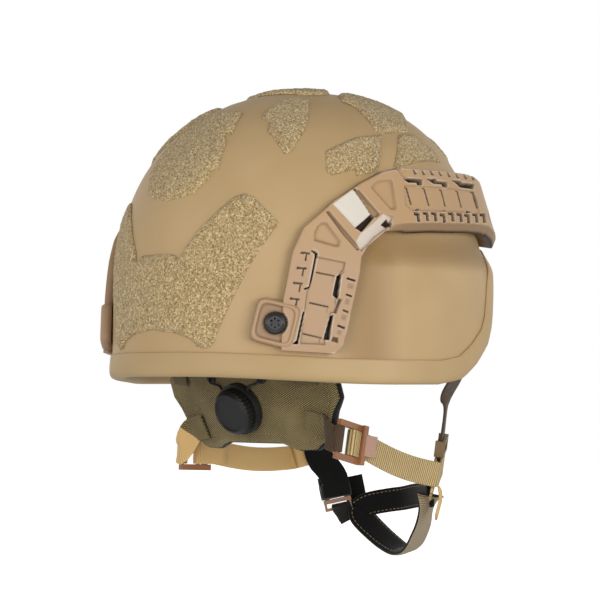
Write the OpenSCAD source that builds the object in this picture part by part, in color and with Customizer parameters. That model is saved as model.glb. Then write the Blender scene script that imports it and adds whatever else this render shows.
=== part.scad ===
// Combat helmet with rails, fabric pile patches, dial-fit nape pad and chin harness.
// Millimetres. The face looks along -Y, the wearer's right is -X, +Z is up.
// The origin is the middle of the head opening, level with the rim at the nape.
// Angles round the head: 0 front, 90 wearer's right, 180 rear, 270 wearer's left.

/* [Shell] */
// Half of the shell's width above the ears
half_width = 119; // [112:1:126]
// Half of the shell's length
half_length = 133; // [126:1:140]
// Height of the crown above the rim at the nape
crown_height = 191; // [183:1:199]
// Height up to which the wall stands upright
wall_height = 0; // [0:1:16]
// Thickness of the shell
shell_t = 8; // [6:0.5:9]
// Height of the brow edge above the rim at the nape
brow_height = 72; // [64:1:80]
// How far the rim dips at the ears
ear_drop = 5; // [0:1:10]
// How far the ear domes stand out
ear_bulge = 9; // [6:0.5:12]
// Height where an ear dome begins to run out
ear_top = 66; // [58:1:72]

/* [Edge trim] */
// Height of the trim band on the outside
trim_height = 13; // [9:0.5:16]
// Height of the trim band on the inside
trim_inside = 8; // [5:0.5:12]
// Thickness of the trim's rubber
trim_t = 1.6; // [1:0.1:2.2]
// Gap between the trim's channel and the shell
trim_gap = 0.55; // [0.4:0.05:0.7]

/* [Pile patches] */
// Thickness of a pile patch
patch_t = 2.2; // [1.2:0.1:3]
// Glue line under a patch
patch_gap = 0.35; // [0.3:0.05:0.5]

/* [Rails] */
// How far a rail's outer edge stands off the shell
rail_t = 7; // [6.5:0.5:9]
// Depth of the accessory channel in a rail
rail_channel = 3; // [2:0.25:4]
// Gap between a rail and the shell
rail_gap = 0.6; // [0.5:0.05:0.8]
// Size of the square boss at a rail's rear screw
boss_w = 24; // [20:1:27]
// Length of one tooth notch
notch_l = 3; // [2:0.25:4]
// Depth of one tooth notch
notch_d = 2.4; // [1.5:0.1:3]

/* [Screws] */
// Radius of a screw head
head_r = 7.2; // [6:0.1:8]
// Height of a screw head
head_h = 3.6; // [2.5:0.1:4.5]
// Radius of a screw shank
shank_r = 2.4; // [2:0.1:2.8]
// Radius of a post nut's barrel
post_r = 3.9; // [3.5:0.1:4.5]
// Radius of a post nut's flange
flange_r = 9; // [7:0.5:11]
// Thickness of a post nut's flange
flange_t = 1.2; // [0.8:0.1:2]
// Clearance round a screw or post
screw_gap = 0.2; // [0.1:0.05:0.4]

/* [Liner] */
// Thickness of a liner pad
pad_t = 19; // [12:1:22]
// Thickness of a hook disc behind a pad
disc_t = 1.2; // [0.8:0.1:2]
// Radius of a hook disc
disc_r = 15; // [10:1:18]
// Gap between neighbouring pieces of the liner
liner_gap = 0.3; // [0.3:0.05:0.6]

/* [Nape pad] */
// Half of the nape pad's width
nape_half_w = 79; // [70:1:84]
// How far behind the origin the nape pad's middle lies
nape_back = 51; // [46:1:56]
// How much the nape pad curves round the neck
nape_bow = 11; // [8:1:16]
// Lean of the nape pad and the dial
nape_lean = 20; // [14:1:26]
// Thickness of the padded inner half
nape_pad_t = 9; // [6:0.5:12]
// Thickness of the woven cover
nape_cover_t = 2.4; // [1.6:0.1:3]
// How far the dial draws the nape pad forward
nape_travel = 10; // [6:1:12]

/* [Dial] */
// Height of the dial's middle
dial_z = -22.5; // [-26:0.5:-20]
// Radius of the dial's grip
dial_r = 15.5; // [14:0.5:18]
// Height of the dial's grip
dial_h = 8; // [7.5:0.5:12]
// Radius of the dial's base
base_r = 17.5; // [17:0.5:21]
// Height of the dial's base
base_h = 5; // [5:0.5:8]
// How far the dial pulls out to let the lace go
dial_pull = 2.5; // [2:0.25:3]
// Radius of the dial's shaft
shaft_r = 3; // [2.5:0.1:4]
// Radius of the spool
spool_r = 7; // [6:0.5:9]
// Radius of the lace
lace_r = 0.9; // [0.7:0.1:1.2]
// Number of grip ribs round the dial
dial_ribs = 32; // [24:1:40]

/* [Harness] */
// Width of the webbing
web_w = 17; // [15:1:20]
// Thickness of the webbing
web_t = 1.6; // [1.2:0.1:2]
// Thickness of a padded chin band
chin_t = 4; // [3:0.5:6]
// Height of a padded chin band
chin_w = 20; // [16:1:24]
// Thickness of a bar in a strap fitting
bar_t = 2.2; // [1.8:0.1:3]
// Gap between webbing and the fitting that it passes
web_gap = 0.35; // [0.3:0.05:0.6]

/* [Hidden] */

rail_colour = "#bf9f76";
shell_colour = "#be9f78";
trim_colour = "#b59a70";
patch_colour = "#ac8f63";
black = "#1b1a19";
webbing_colour = "#a88e61";
olive = "#5f5031";

// Shape of the plan: 2 is an ellipse, more is squarer
plan_power = 2;
// Shape of the dome from rim to crown, and its fullness at the side and toward the front
dome_power = 3.4;
dome_full = 2.12;
dome_full_front = 0.25;
// Distance behind the origin where an ear dome starts and is gone
ear_rear_in = 31;
ear_rear_out = 70;
// Distance in front of the origin where an ear dome is whole and gone
ear_front_in = 64;
ear_front_out = 98;
// Height over which the top of an ear dome runs out
ear_top_run = 26;
// Rise of the front edge from ear to brow, as a share, at angles round the head
rim_rise = [[40, 1], [47, 0.98], [53, 0.92], [56.5, 0.80], [58, 0.66], [60, 0.48],
    [64, 0.32], [72, 0.16], [80, 0.04], [90, 0]];
// Angles at which the shell and the trim are built, for one half
half_stations = concat([0 : 8 : 32], [38, 43, 47, 50, 53, 55, 56.5, 58, 60, 62, 64, 68, 72, 76, 80],
    [85 : 6 : 103], [107 : 4 : 127], [133 : 8 : 173], [180]);
stations = concat([for (s = half_stations) each s],
    [for (i = [len(spread(half_stations)) - 2 : -1 : 1]) 360 - spread(half_stations)[i]]);
// Shares of the way from crown to rim at which the shell has a ring, closer where the ear domes run out
level_shares = concat([0.005, 0.02, 0.05], [0.1 : 0.06 : 0.4],
    [0.45, 0.49, 0.525, 0.56, 0.595, 0.63, 0.665, 0.71, 0.78, 0.88, 1]);

// A list with its ranges written out
function spread(list) = [for (s = list) each s];
ring_shares = spread(level_shares);
function unit(v) = v / norm(v);
function mix(a, b, f) = a + (b - a) * f;
function smooth(lo, hi, x) = let (t = min(1, max(0, (x - lo) / (hi - lo)))) t * t * (3 - 2 * t);
function fold(a) = a > 180 ? 360 - a : a;

// Radius of the plan at angle a, for a surface that lies g outside the shell
function plan_r(a, g) = pow(pow(abs(sin(a)) / (half_width + g), plan_power)
    + pow(abs(cos(a)) / (half_length + g), plan_power), -1 / plan_power);
// Radius of the dome without the ear domes
function dome_r(a, z, g) = let (k = max(0, (z - wall_height) / (crown_height + g - wall_height)))
    plan_r(a, g) * pow(max(0, 1 - pow(k, dome_power)), 1 / (dome_full + dome_full_front * cos(a)));
function ear_out(a, z, r) = let (y = -r * cos(a))
    ear_bulge * (1 - smooth(ear_rear_in, ear_rear_out, y)) * (1 - smooth(ear_top, ear_top + ear_top_run, z))
    * smooth(-ear_front_out, -ear_front_in, y) * min(1, max(0, (abs(sin(a)) - 0.3) / 0.3));
function shell_r(a, z, g) = let (r = dome_r(a, z, g)) r + ear_out(a, z, r);
// Point of the shell's surface, or of one g outside it
function on_shell(a, z, g) = let (r = shell_r(a, z, g)) [-r * sin(a), -r * cos(a), z];
function shell_normal(a, z, g) = let (
    across = on_shell(a + 0.5, z, g) - on_shell(a - 0.5, z, g),
    up = on_shell(a, z + 0.5, g) - on_shell(a, z - 0.5, g)) unit(cross(up, across));
function rim_z(a) = let (b = fold(a)) b < 90
    ? -ear_drop + (brow_height + ear_drop) * lookup(b, rim_rise)
    : -ear_drop * (1 - smooth(105, 170, b));

// Two triangles of a four-sided cell, split along its shorter diagonal
function cell(p, a, b, c, d) = norm(p[a] - p[c]) <= norm(p[b] - p[d])
    ? [[a, b, c], [a, c, d]] : [[a, b, d], [b, c, d]];
// Cells of the band between k rings of n points
function band(p, k, n) = [for (i = [0 : k - 2]) for (j = [0 : n - 1])
    let (a = i * n + j, b = i * n + (j + 1) % n) each cell(p, a, b, b + n, a + n)];
function flip(faces) = [for (f = faces) [f[0], f[2], f[1]]];
function sum(list) = list * [for (i = list) 1];
// Six times the signed volume inside the faces
function volume6(points, faces) = sum([for (f = faces) points[f[0]] * cross(points[f[1]], points[f[2]])]);
// Closed solid whose triangles all face one way, turned outward if they face in
module closed_solid(points, faces) {
    polyhedron(points, volume6(points, faces) < 0 ? faces : flip(faces));
}

// Solid between two poles through rings
module poled(rings, first, last) {
    n = len(rings[0]);
    k = len(rings);
    points = concat([for (r = rings) each r], [first, last]);
    faces = concat(band(points, k, n),
        [for (j = [0 : n - 1]) [k * n, (j + 1) % n, j]],
        [for (j = [0 : n - 1]) [k * n + 1, (k - 1) * n + j, (k - 1) * n + (j + 1) % n]]);
    closed_solid(points, faces);
}

// Solid that sweeps a ring of points; flat ends, or a closed loop
module swept(rings, loop = false) {
    n = len(rings[0]);
    k = len(rings);
    points = [for (r = rings) each r];
    ends = loop
        ? [for (j = [0 : n - 1]) let (a = (k - 1) * n + j, b = (k - 1) * n + (j + 1) % n)
            each cell(points, a, b, (j + 1) % n, j)]
        : concat([for (j = [1 : n - 2]) [0, j + 1, j]],
            [for (j = [1 : n - 2]) [(k - 1) * n, (k - 1) * n + j, (k - 1) * n + j + 1]]);
    closed_solid(points, concat(band(points, k, n), ends));
}

// Slab between two curved faces, each a grid of nu by nv cells
module slab(low, high, nu, nv) {
    m = nu + 1;
    count = m * (nv + 1);
    grid = [for (j = [0 : nv - 1]) for (i = [0 : nu - 1]) let (p = j * m + i)
        each cell(low, p, p + 1, p + m + 1, p + m)];
    edge = concat([for (i = [0 : nu - 1]) i], [for (j = [0 : nv - 1]) j * m + nu],
        [for (i = [nu : -1 : 1]) nv * m + i], [for (j = [nv : -1 : 1]) j * m]);
    sides = [for (i = [0 : len(edge) - 1]) let (p = edge[i], q = edge[(i + 1) % len(edge)])
        each [[p, q, q + count], [p, q + count, p + count]]];
    top = flip([for (f = grid) f + [count, count, count]]);
    closed_solid(concat(low, high), concat(grid, top, flip(sides)));
}

function level_z(a, f, g) = let (top = crown_height + g) top - (top - rim_z(a)) * f;
function shell_ring(f, g) = [for (a = stations) on_shell(a, level_z(a, f, g), g)];

module helmet_shell() {
    color(shell_colour)
    difference() {
        poled(concat([for (f = ring_shares) shell_ring(f, 0)],
            [for (i = [len(ring_shares) - 1 : -1 : 0]) shell_ring(ring_shares[i], -shell_t)]),
            [0, 0, crown_height], [0, 0, crown_height - shell_t]);
        at_screws() translate([0, 0, -shell_t - 6])
            cylinder(h = shell_t + 12, r = post_r + screw_gap, $fn = 32);
    }
}

// The trim hugs the rim. Its outline is [distance in from the edge, distance out from the shell]
function rim_point(a) = on_shell(a, rim_z(a), 0);
function rim_frame(i) = let (
    k = len(stations),
    along = unit(rim_point(stations[(i + 1) % k]) - rim_point(stations[(i + k - 1) % k])),
    out = shell_normal(stations[i], rim_z(stations[i]), 0))
    [rim_point(stations[i]), unit(cross(along, unit(out - along * (out * along))))];
trim_inner = -shell_t - trim_gap - trim_t;
trim_profile = [[trim_height, trim_gap], [trim_height, trim_gap + 0.7 * trim_t],
    [trim_height - 1.5, trim_gap + trim_t], [1, trim_gap + trim_t + 0.4],
    [-trim_t - 0.8, trim_gap], [-trim_t - 0.8, -shell_t], [1, trim_inner], [trim_inside, trim_inner + 0.4],
    [trim_inside, -shell_t - trim_gap], [-trim_gap, -shell_t - trim_gap], [-trim_gap, trim_gap],
    [0.5 * trim_height, trim_gap + 0.1]];

module edge_trim() {
    color(trim_colour)
    swept([for (i = [0 : len(stations) - 1]) let (f = rim_frame(i))
        [for (p = trim_profile) let (q = f[0] + f[1] * p[0])
            on_shell(atan2(-q[0], -q[1]), q[2], p[1])]], loop = true);
}

// Distance from an inside point along a direction to the dome that lies g outside the shell
function is_inside(p, g) = p[2] < crown_height + g
    && norm([p[0], p[1]]) < dome_r(atan2(-p[0], -p[1]), p[2], g);
function cast(p, d, g, lo, hi, steps) = let (m = (lo + hi) / 2)
    steps == 0 ? m
    : is_inside(p + d * m, g) ? cast(p, d, g, m, hi, steps - 1)
    : cast(p, d, g, lo, m, steps - 1);
// Frame on the dome: angle a round the head, lean e up from level
cast_height = 60;
function seat_normal(a, e) = [-sin(a) * cos(e), -cos(a) * cos(e), sin(e)];
function seat_point(a, e, g) = let (n = seat_normal(a, e))
    [0, 0, cast_height] + n * cast([0, 0, cast_height], n, g, 0, 260, 18);
function seat_right(a, e) = unit(cross([0, 0, 1], seat_normal(a, e)));
function seat_up(a, e) = cross(seat_normal(a, e), seat_right(a, e));
function frame(o, x, y, z) = [[x[0], y[0], z[0], o[0]], [x[1], y[1], z[1], o[1]],
    [x[2], y[2], z[2], o[2]], [0, 0, 0, 1]];
module at_seat(a, e) {
    multmatrix(frame(seat_point(a, e, 0), seat_right(a, e), seat_up(a, e), seat_normal(a, e))) children();
}

// Curved sheet over a rectangle of a seat's own plane, between the dome grown by lo and by hi
sheet_reach = 70;
function sheet_w(a, e, u, v, g) = cast(seat_point(a, e, 0) + seat_right(a, e) * u + seat_up(a, e) * v
    - seat_normal(a, e) * sheet_reach, seat_normal(a, e), g, 0, sheet_reach + 30, 14) - sheet_reach;
module sheet(a, e, size, lo, hi, cells) {
    nu = cells[0];
    nv = cells[1];
    // size is [left, right, bottom, top]
    us = [for (i = [0 : nu]) mix(size[0], size[1], i / nu)];
    vs = [for (j = [0 : nv]) mix(size[2], size[3], j / nv)];
    low = [for (v = vs) for (u = us) [u, v, sheet_w(a, e, u, v, lo)]];
    high = [for (v = vs) for (u = us) [u, v, sheet_w(a, e, u, v, hi)]];
    slab(low, high, nu, nv);
}

// A pile patch: an outline in the seat's plane, cut from a curved sheet
function both_sides(half) = concat(half, [for (i = [len(half) - 1 : -1 : 0]) [-half[i][0], half[i][1]]]);
function span(outline) = [min([for (p = outline) p[0]]) - 2, max([for (p = outline) p[0]]) + 2,
    min([for (p = outline) p[1]]) - 2, max([for (p = outline) p[1]]) + 2];
module patch(a, e, outline, cells) {
    color(patch_colour)
    at_seat(a, e)
    intersection() {
        sheet(a, e, span(outline), patch_gap, patch_gap + patch_t, cells);
        translate([0, 0, -sheet_reach]) linear_extrude(2 * sheet_reach) polygon(outline);
    }
}
module mirrored() {
    mirror([1, 0, 0]) children();
}

// Outlines hold one half where the patch is the same on both sides of the middle
rear_half = [[0, -7], [15, -7], [21, -11], [23, -5], [36, 14], [50, 32], [55, 35], [60, 33], [76, 18],
    [46, -62], [42, -66], [36, -65], [33, -61], [19, -57], [8, -56], [0, -55]];
rear_top_half = [[0, 30], [17, 29], [27, 4], [22, 1], [27, -3], [33, -26], [27, -28], [29, -33],
    [22, -44], [12, -48], [0, -50]];
crown_half = [[0, 39], [10, 29], [22, 17], [30, 9], [34, 2], [33, -10], [26, -15], [12, -18], [0, -20]];
arrow_outline = [[-22, 8], [-17, 6], [-26, -16], [-29, -24], [-34, -32], [-47, -46], [-52, -46],
    [-56, -24], [-52, -16], [-54, -8], [-50, -1], [-39, 6], [-31, 9]];
front_top_half = [[0, 2], [20, 20], [37, 44], [51, 52], [58, 48], [84, 46], [85, 42], [82, 17], [77, 11],
    [50, -6], [30, -10], [0, -14]];
side_rear_outline = [[-64, -1], [-40, 2], [-18, 1], [-35, -23], [-40, -25], [-53, -25], [-52, -20],
    [-68, -18], [-70, -14]];
side_front_outline = [[-38, 7], [-26, 6], [-17, -3], [-13, -12], [-9, -20], [-64, -11]];
front_half = [[0, 38], [30, 36], [56, 30], [64, 18], [58, 4], [42, -4], [28, -16], [0, -19]];

module patch_rear() { patch(180, 10, both_sides(rear_half), [12, 7]); }
module patch_rear_top() { patch(180, 45, both_sides(rear_top_half), [6, 7]); }
module patch_crown() { patch(180, 85, both_sides(crown_half), [6, 6]); }
module patch_arrow_right() { patch(110, 65, arrow_outline, [4, 5]); }
module patch_arrow_left() { mirrored() patch_arrow_right(); }
module patch_front_top() { patch(0, 70, both_sides(front_top_half), [14, 7]); }
module patch_side_rear_right() { patch(85, 48, side_rear_outline, [6, 4]); }
module patch_side_rear_left() { mirrored() patch_side_rear_right(); }
module patch_side_front_right() { patch(60, 48, side_front_outline, [5, 4]); }
module patch_side_front_left() { mirrored() patch_side_front_right(); }
module patch_front() { patch(0, 40, both_sides(front_half), [10, 5]); }

// Rails and screws were placed on a crown of this height, and keep their share of it
placed_crown = 191;
function high(z) = z * crown_height / placed_crown;
// Screws hold the rails: angle round the head and height of each on the right side
screw_seats = [[142, 31], [46, 104]];
module at_screw(s, side = 1) {
    a = s[0];
    z = high(s[1]);
    n = shell_normal(a, z, 0);
    x = unit(cross([0, 0, 1], n));
    mirror([side < 0 ? 1 : 0, 0, 0])
    multmatrix(frame(on_shell(a, z, 0), x, cross(n, x), n)) children();
}
module at_screws() {
    for (side = [1, -1]) for (s = screw_seats) at_screw(s, side) children();
}

// Rail stations: upper or rear edge [angle, height], lower or front edge [angle, height], channel share,
// extra stand-off, share of the bevel under the lower bar
rail_path = [[[140, 14], [125.5, 12], 0, 0, 0], [[140, 17], [123.5, 16], 0, 0, 0],
    [[140, 18], [123, 17], 1, 0, 0], [[139.5, 46], [120, 45], 1, 0, 0],
    [[137.2, 74], [118, 64], 1, 0, 0], [[137, 76], [118, 66], 0, 0, 0],
    [[134, 91], [117.5, 73], 0, 0, 0], [[124.5, 109], [115.5, 80], 0, 0, 0],
    [[115, 121], [109, 90], 0, 0, 0], [[106, 129], [103, 91], 0, 0, 0.6],
    [[98.5, 132], [100, 91], 0, 0, 1], [[98, 132], [99.5, 91], 1, 0, 1],
    [[90, 132.3], [91, 92.3], 1, 0.2, 1], [[79, 132.6], [81.5, 93], 1, 0.6, 1],
    [[70, 133], [72, 94], 1, 1.3, 1], [[61, 133.3], [62.5, 94.5], 1, 2.4, 1],
    [[54, 133], [55, 94.5], 1, 3.6, 1], [[53.5, 133], [54.5, 94], 0, 3.7, 1],
    [[46, 131], [46.5, 91], 0, 4.6, 0.8], [[39, 126], [40, 87], 0, 4.6, 0.8]];
rail_last = len(rail_path) - 1;
function rail_at(s) = let (
    i = min(rail_last - 1, floor(s)), f = s - i, p = rail_path[i], q = rail_path[i + 1])
    [for (k = [0 : 4]) mix(p[k], q[k], f)];
// Outer face of a rail: flat from edge to edge, share f across
function rail_face(s, f) = let (r = rail_at(s), n = rail_t + r[3])
    mix(on_shell(r[0][0], high(r[0][1]), n), on_shell(r[1][0], high(r[1][1]), n + 1.5), f);
function rail_under(s, f) = let (r = rail_at(s), c = mix(r[0], r[1], f))
    on_shell(c[0], high(c[1]), rail_gap);
function rail_along(s, f) = unit(rail_face(min(rail_last, s + 0.05), f) - rail_face(max(0, s - 0.05), f));
function rail_across(s) = unit(rail_face(s, 1) - rail_face(s, 0));
function rail_normal(s, f) = unit(cross(rail_along(s, f), rail_across(s)));
rail_shares = [0, 0.24, 0.27, 0.5, 0.73, 0.76, 0.86, 1];
rail_deep = [0, 0, 1, 1, 1, 0, 0, 0];
rail_bevel = 5;
function rail_ring(s) = let (r = rail_at(s)) concat(
    [for (j = [0 : len(rail_shares) - 1]) rail_face(s, rail_shares[j])
        - rail_normal(s, rail_shares[j])
            * (rail_channel * rail_deep[j] * r[2] + (rail_shares[j] == 1 ? rail_bevel * r[4] : 0))],
    [for (f = [1 : -0.25 : 0]) rail_under(s, f)]);
// A block in the rail's own frame: along, across, and down from the face
module rail_block(s, f, size, lift = 1) {
    multmatrix(frame(rail_face(s, f), rail_along(s, f), rail_across(s), rail_normal(s, f)))
    translate([0, 0, -size[2] / 2 + lift]) hull() cube(size, center = true);
}
module rail_triangle(s, f, corners, depth) {
    multmatrix(frame(rail_face(s, f), rail_along(s, f), rail_across(s), rail_normal(s, f)))
    translate([0, 0, -depth]) hull() linear_extrude(depth + 2) polygon(corners);
}
module rail_boss(w, h) {
    at_screw(screw_seats[0]) translate([0, 0, rail_gap]) hull() {
        translate([0, 0, h / 2]) cube([w, w, h], center = true);
        translate([0, 0, h / 4]) cube([1.12 * w, 0.8 * w, h / 2], center = true);
    }
}
module rail() {
    color(rail_colour)
    difference() {
        union() {
            swept([for (s = [0 : rail_last]) rail_ring(s)]);
            rail_boss(boss_w, rail_t);
        }
        // Teeth along both bars of the rear and front sections
        for (i = [0 : 3]) rail_block(2.25 + 0.6 * i, 0.06, [notch_l, 6, 2 * notch_d], notch_d);
        for (i = [0 : 3]) rail_block(2.25 + 0.6 * i, 0.95, [notch_l, 6, 2 * notch_d], notch_d);
        for (i = [0 : 8]) rail_block(11.6 + 0.53 * i, 0.03, [notch_l, 7, 2 * notch_d], notch_d);
        for (i = [0 : 8]) rail_block(11.5 + 0.53 * i, 0.84, [notch_l, 5, 2 * notch_d], notch_d);
        // Dark slots beside the channel floor
        for (s = [3.55, 12.1, 13.4, 14.7]) rail_block(s, 0.27, [10, 3, 10], 4);
        for (s = [2.5, 3.6]) rail_block(s, 0.75, [11, 3, 10], 4);
        // Grooves across the channel floor
        for (s = [2.3, 2.9, 3.6]) rail_block(s, 0.5, [1, 14, 2 * rail_channel + 1.6], rail_channel);
        for (i = [0 : 4]) rail_block(11.4 + i, 0.5, [1, 13, 2 * rail_channel + 1.6], rail_channel);
        // Window and ramp in the slanted section, and a pocket on each side of it
        rail_block(7.5, 0.42, [15, 24, 7], 2);
        rail_block(8.05, 0.55, [5, 12, 16], 5);
        rail_triangle(6.2, 0.45, [[-9, -8], [7, -6], [-9, 10]], 3);
        rail_triangle(9.1, 0.42, [[-7, -9], [8, -10], [8, 12]], 3);
        // Screw holes, each with a seat for the head
        for (s = screw_seats) at_screw(s) {
            translate([0, 0, -3]) cylinder(h = 40, r = shank_r + screw_gap, $fn = 26);
            translate([0, 0, seat_n]) cylinder(h = 20, r = head_r + 1, $fn = 26);
        }
    }
}
module rail_right() { rail(); }
module rail_left() { mirrored() rail(); }

// Height of a screw head's seat over the shell
seat_n = 4.5;
tab_gap = 1;
tab_n = -shell_t - tab_gap - web_t;
module rail_screws() {
    color(black)
    at_screws() translate([0, 0, seat_n])
    difference() {
        union() {
            rotate_extrude($fn = 48) polygon([[0, 0.05], [head_r, 0.05], [head_r, 1.2],
                [0.86 * head_r, 0.7 * head_h], [0.6 * head_r, head_h], [0, head_h]]);
            translate([0, 0, -seat_n - shell_t + 1]) cylinder(h = seat_n + shell_t, r = shank_r, $fn = 32);
        }
        translate([0, 0, head_h - 1.8]) for (t = [0, 60, 120]) rotate(t)
            cube([1.3, 0.9 * head_r, 4], center = true);
    }
}
module post_nuts() {
    color("#8d8d8a")
    for (side = [1, -1]) for (s = screw_seats) at_screw(s, side) difference() {
        union() {
            translate([0, 0, tab_n - 0.1 - flange_t]) cylinder(h = flange_t, r = flange_r, $fn = 48);
            translate([0, 0, tab_n - 0.2]) cylinder(h = -tab_n - 0.4, r = post_r, $fn = 32);
        }
        translate([0, 0, tab_n - 5]) cylinder(h = 30, r = shank_r + 0.1, $fn = 32);
    }
}

// Liner: soft pads held to the shell by hook discs
disc_n = liner_gap + 0.2;
pad_n = disc_n + disc_t + 1.6 * liner_gap;
function dome_z(a, r, g) = wall_height + (crown_height + g - wall_height)
    * pow(max(0, 1 - pow(r / plan_r(a, g), dome_full + dome_full_front * cos(a))), 1 / dome_power);
// A pad is [kind, angle, height, half width in degrees, half height]; kind 0 lies at the crown
pads = [[0, 0, 0, 0, 52], [1, 0, 116, 25, 25], [1, 180, 62, 21, 29],
    [1, 70, 104, 15, 24], [1, 112, 78, 16, 30]];
function squared(x) = sign(x) * pow(abs(x), 0.75);
function pad_point(p, rho, phi, d) = p[0] == 0
    ? let (r = p[4] * rho) [-r * sin(phi), -r * cos(phi), dome_z(phi, r, -shell_t - d)]
    : on_shell(p[1] + p[3] * rho * squared(cos(phi)), p[2] + p[4] * rho * squared(sin(phi)), -shell_t - d);
pad_rhos = [0.4, 0.7, 0.88, 0.97];
// Share of the full thickness: crowned in the middle, drawn in at the rim
function pad_swell(rho) = 1 - 0.1 * rho * rho - 0.62 * pow(rho, 9);
module pad_solid(p, near, t, sides, swell) {
    rhos = swell ? pad_rhos : [0.5];
    poled(concat([for (r = concat(rhos, [1])) [for (j = [0 : sides - 1])
            pad_point(p, r, j * 360 / sides, near + t * (swell ? pad_swell(r) : 1))]],
        [for (i = [len(rhos) - (swell ? 1 : 0) : -1 : 0]) [for (j = [0 : sides - 1])
            pad_point(p, concat(rhos, [1])[i], j * 360 / sides, near)]]),
        pad_point(p, 0.001, 0, near + t), pad_point(p, 0.001, 0, near));
}
module liner_pad(i) { color(black) pad_solid(pads[i], pad_n, pad_t, 16, true); }
module pad_crown() { liner_pad(0); }
module pad_front() { liner_pad(1); }
module pad_rear() { liner_pad(2); }
module pads_side_right() {
    liner_pad(3);
    liner_pad(4);
}
module pads_side_left() { mirrored() pads_side_right(); }
disc_degrees = disc_r / half_width * 57;
module hook_disc(i) {
    p = pads[i];
    color("#2b2b29") pad_solid([p[0], p[1], p[2], disc_degrees, disc_r], disc_n, disc_t, 12, false);
}
module hook_discs() {
    for (i = [0 : 4]) hook_disc(i);
    mirrored() for (i = [3, 4]) hook_disc(i);
}

// Nape pad: a padded lining and a woven cover, bowed round the neck and leaning
function nape_y(x, z) = nape_back - nape_bow * pow(x / nape_half_w, 2) + tan(nape_lean) * (z - dial_z);
function nape_point(x, z, off) = [x, nape_y(x, z) + off, z];
function nape_normal(x) = unit([2 * nape_bow * x / pow(nape_half_w, 2), 1, -tan(nape_lean)]);
nape_foot = [[0, -46], [26, -46], [38, -50.5], [52, -50], [64, -42.5], [71, -26], [79, -16]];
nape_head = [[0, 14], [56, 12], [68, 3], [79, -5]];
cover_off = liner_gap + nape_cover_t;
function nape_grid(nu, nv, grow, off) = [for (j = [0 : nv]) for (i = [0 : nu])
    let (u = -1 + 2 * i / nu, x = u * nape_half_w, k = abs(x) * (1 - grow / nape_half_w))
    let (z = mix(lookup(k, nape_foot) - grow, lookup(k, nape_head) + grow, j / nv))
    nape_point(x * (1 + grow / nape_half_w), z, off)];
function nape_inner(nu, nv, grow) = [for (j = [0 : nv]) for (i = [0 : nu])
    let (u = -1 + 2 * i / nu, v = -1 + 2 * j / nv, x = u * nape_half_w, k = abs(x) * (1 - grow / nape_half_w),
    z = mix(lookup(k, nape_foot) - grow, lookup(k, nape_head) + grow, j / nv),
    t = nape_pad_t * (1 - 0.65 * pow(abs(u), 6)) * (1 - 0.65 * pow(abs(v), 6)))
    nape_point(x * (1 + grow / nape_half_w), z, -t)];
eyelet_x = 24;
eyelet_z = -3;
eyelet_hole = 2.2;
module at_eyelets() {
    for (side = [1, -1]) let (x = side * eyelet_x, n = nape_normal(x), r = unit(cross([0, 0, 1], n)))
        multmatrix(frame(nape_point(x, eyelet_z, cover_off), r, cross(n, r), n)) children();
}
module nape_lining() {
    color(black) difference() {
        slab(nape_inner(16, 6, 2), nape_grid(16, 6, 2, 0), 16, 6);
        at_eyelets() cylinder(h = 60, r = eyelet_hole, center = true, $fn = 24);
        at_dial() cylinder(h = 30, r = plate_r + 0.5, center = true, $fn = 48);
    }
}
module nape_cover() {
    color(olive) difference() {
        slab(nape_grid(16, 6, 0, liner_gap), nape_grid(16, 6, 0, cover_off), 16, 6);
        at_eyelets() cylinder(h = 60, r = eyelet_hole, center = true, $fn = 24);
        at_dial() cylinder(h = 30, r = plate_r - 3, center = true, $fn = 48);
    }
}
module eyelets() {
    color(black) at_eyelets() translate([0, 0, 0.15]) difference() {
        cylinder(h = 0.9, r = eyelet_hole + 1.8, $fn = 32);
        translate([0, 0, -1]) cylinder(h = 3, r = eyelet_hole - 0.4, $fn = 32);
    }
}

// Dial: base riveted through the cover to a back plate, spool with its shaft, and the grip
plate_r = 12;
plate_t = 1.5;
module at_dial() {
    multmatrix(frame(nape_point(0, dial_z, cover_off), [-1, 0, 0],
        [0, sin(nape_lean), cos(nape_lean)], [0, cos(nape_lean), -sin(nape_lean)])) children();
}
spool_floor = 1.5;
spool_h = 2.9;
run_gap = 0.05;
pin_r = 2;
module dial_base() {
    color(black) at_dial() difference() {
        union() {
            translate([0, 0, 0.3]) cylinder(h = base_h - 0.3, r = base_r, $fn = 64);
            translate([0, 0, -cover_off]) cylinder(h = cover_off + 1, r = plate_r - 3.4, $fn = 48);
        }
        translate([0, 0, spool_floor]) cylinder(h = base_h, r = spool_r + 0.5, $fn = 48);
        cylinder(h = 20, r = pin_r + run_gap, center = true, $fn = 32);
        for (side = [1, -1]) rotate(side * lace_turn) translate([0, 0, base_h / 2 + 0.5]) rotate([-90, 0, 0])
            cylinder(h = base_r + 2, r = lace_r + 0.3, $fn = 20);
        for (t = [45 : 90 : 315]) rotate(t) translate([base_r - 4.5, 0, -20])
            cylinder(h = 40, r = 1.1, $fn = 20);
    }
}
module dial_plate() {
    color(black) at_dial() translate([0, 0, -cover_off - plate_t - 0.1]) difference() {
        cylinder(h = plate_t, r = plate_r, $fn = 48);
        translate([0, 0, -1]) cylinder(h = 9, r = pin_r + 1, $fn = 32);
    }
}
module dial_spool() {
    color("#3a3a38") at_dial() {
        translate([0, 0, spool_floor + 0.1]) rotate_extrude($fn = 48) polygon([[0, 0], [spool_r, 0],
            [spool_r, 0.5], [spool_r - 1.6, 0.7], [spool_r - 1.6, 2.2], [spool_r, 2.4], [spool_r, spool_h],
            [0, spool_h]]);
        translate([0, 0, -cover_off]) cylinder(h = base_h, r = pin_r, $fn = 32);
        translate([0, 0, spool_floor + 1])
            cylinder(h = base_h + dial_h - spool_floor - 2.7 - dial_pull, r = shaft_r, $fn = 32);
    }
}
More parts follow.
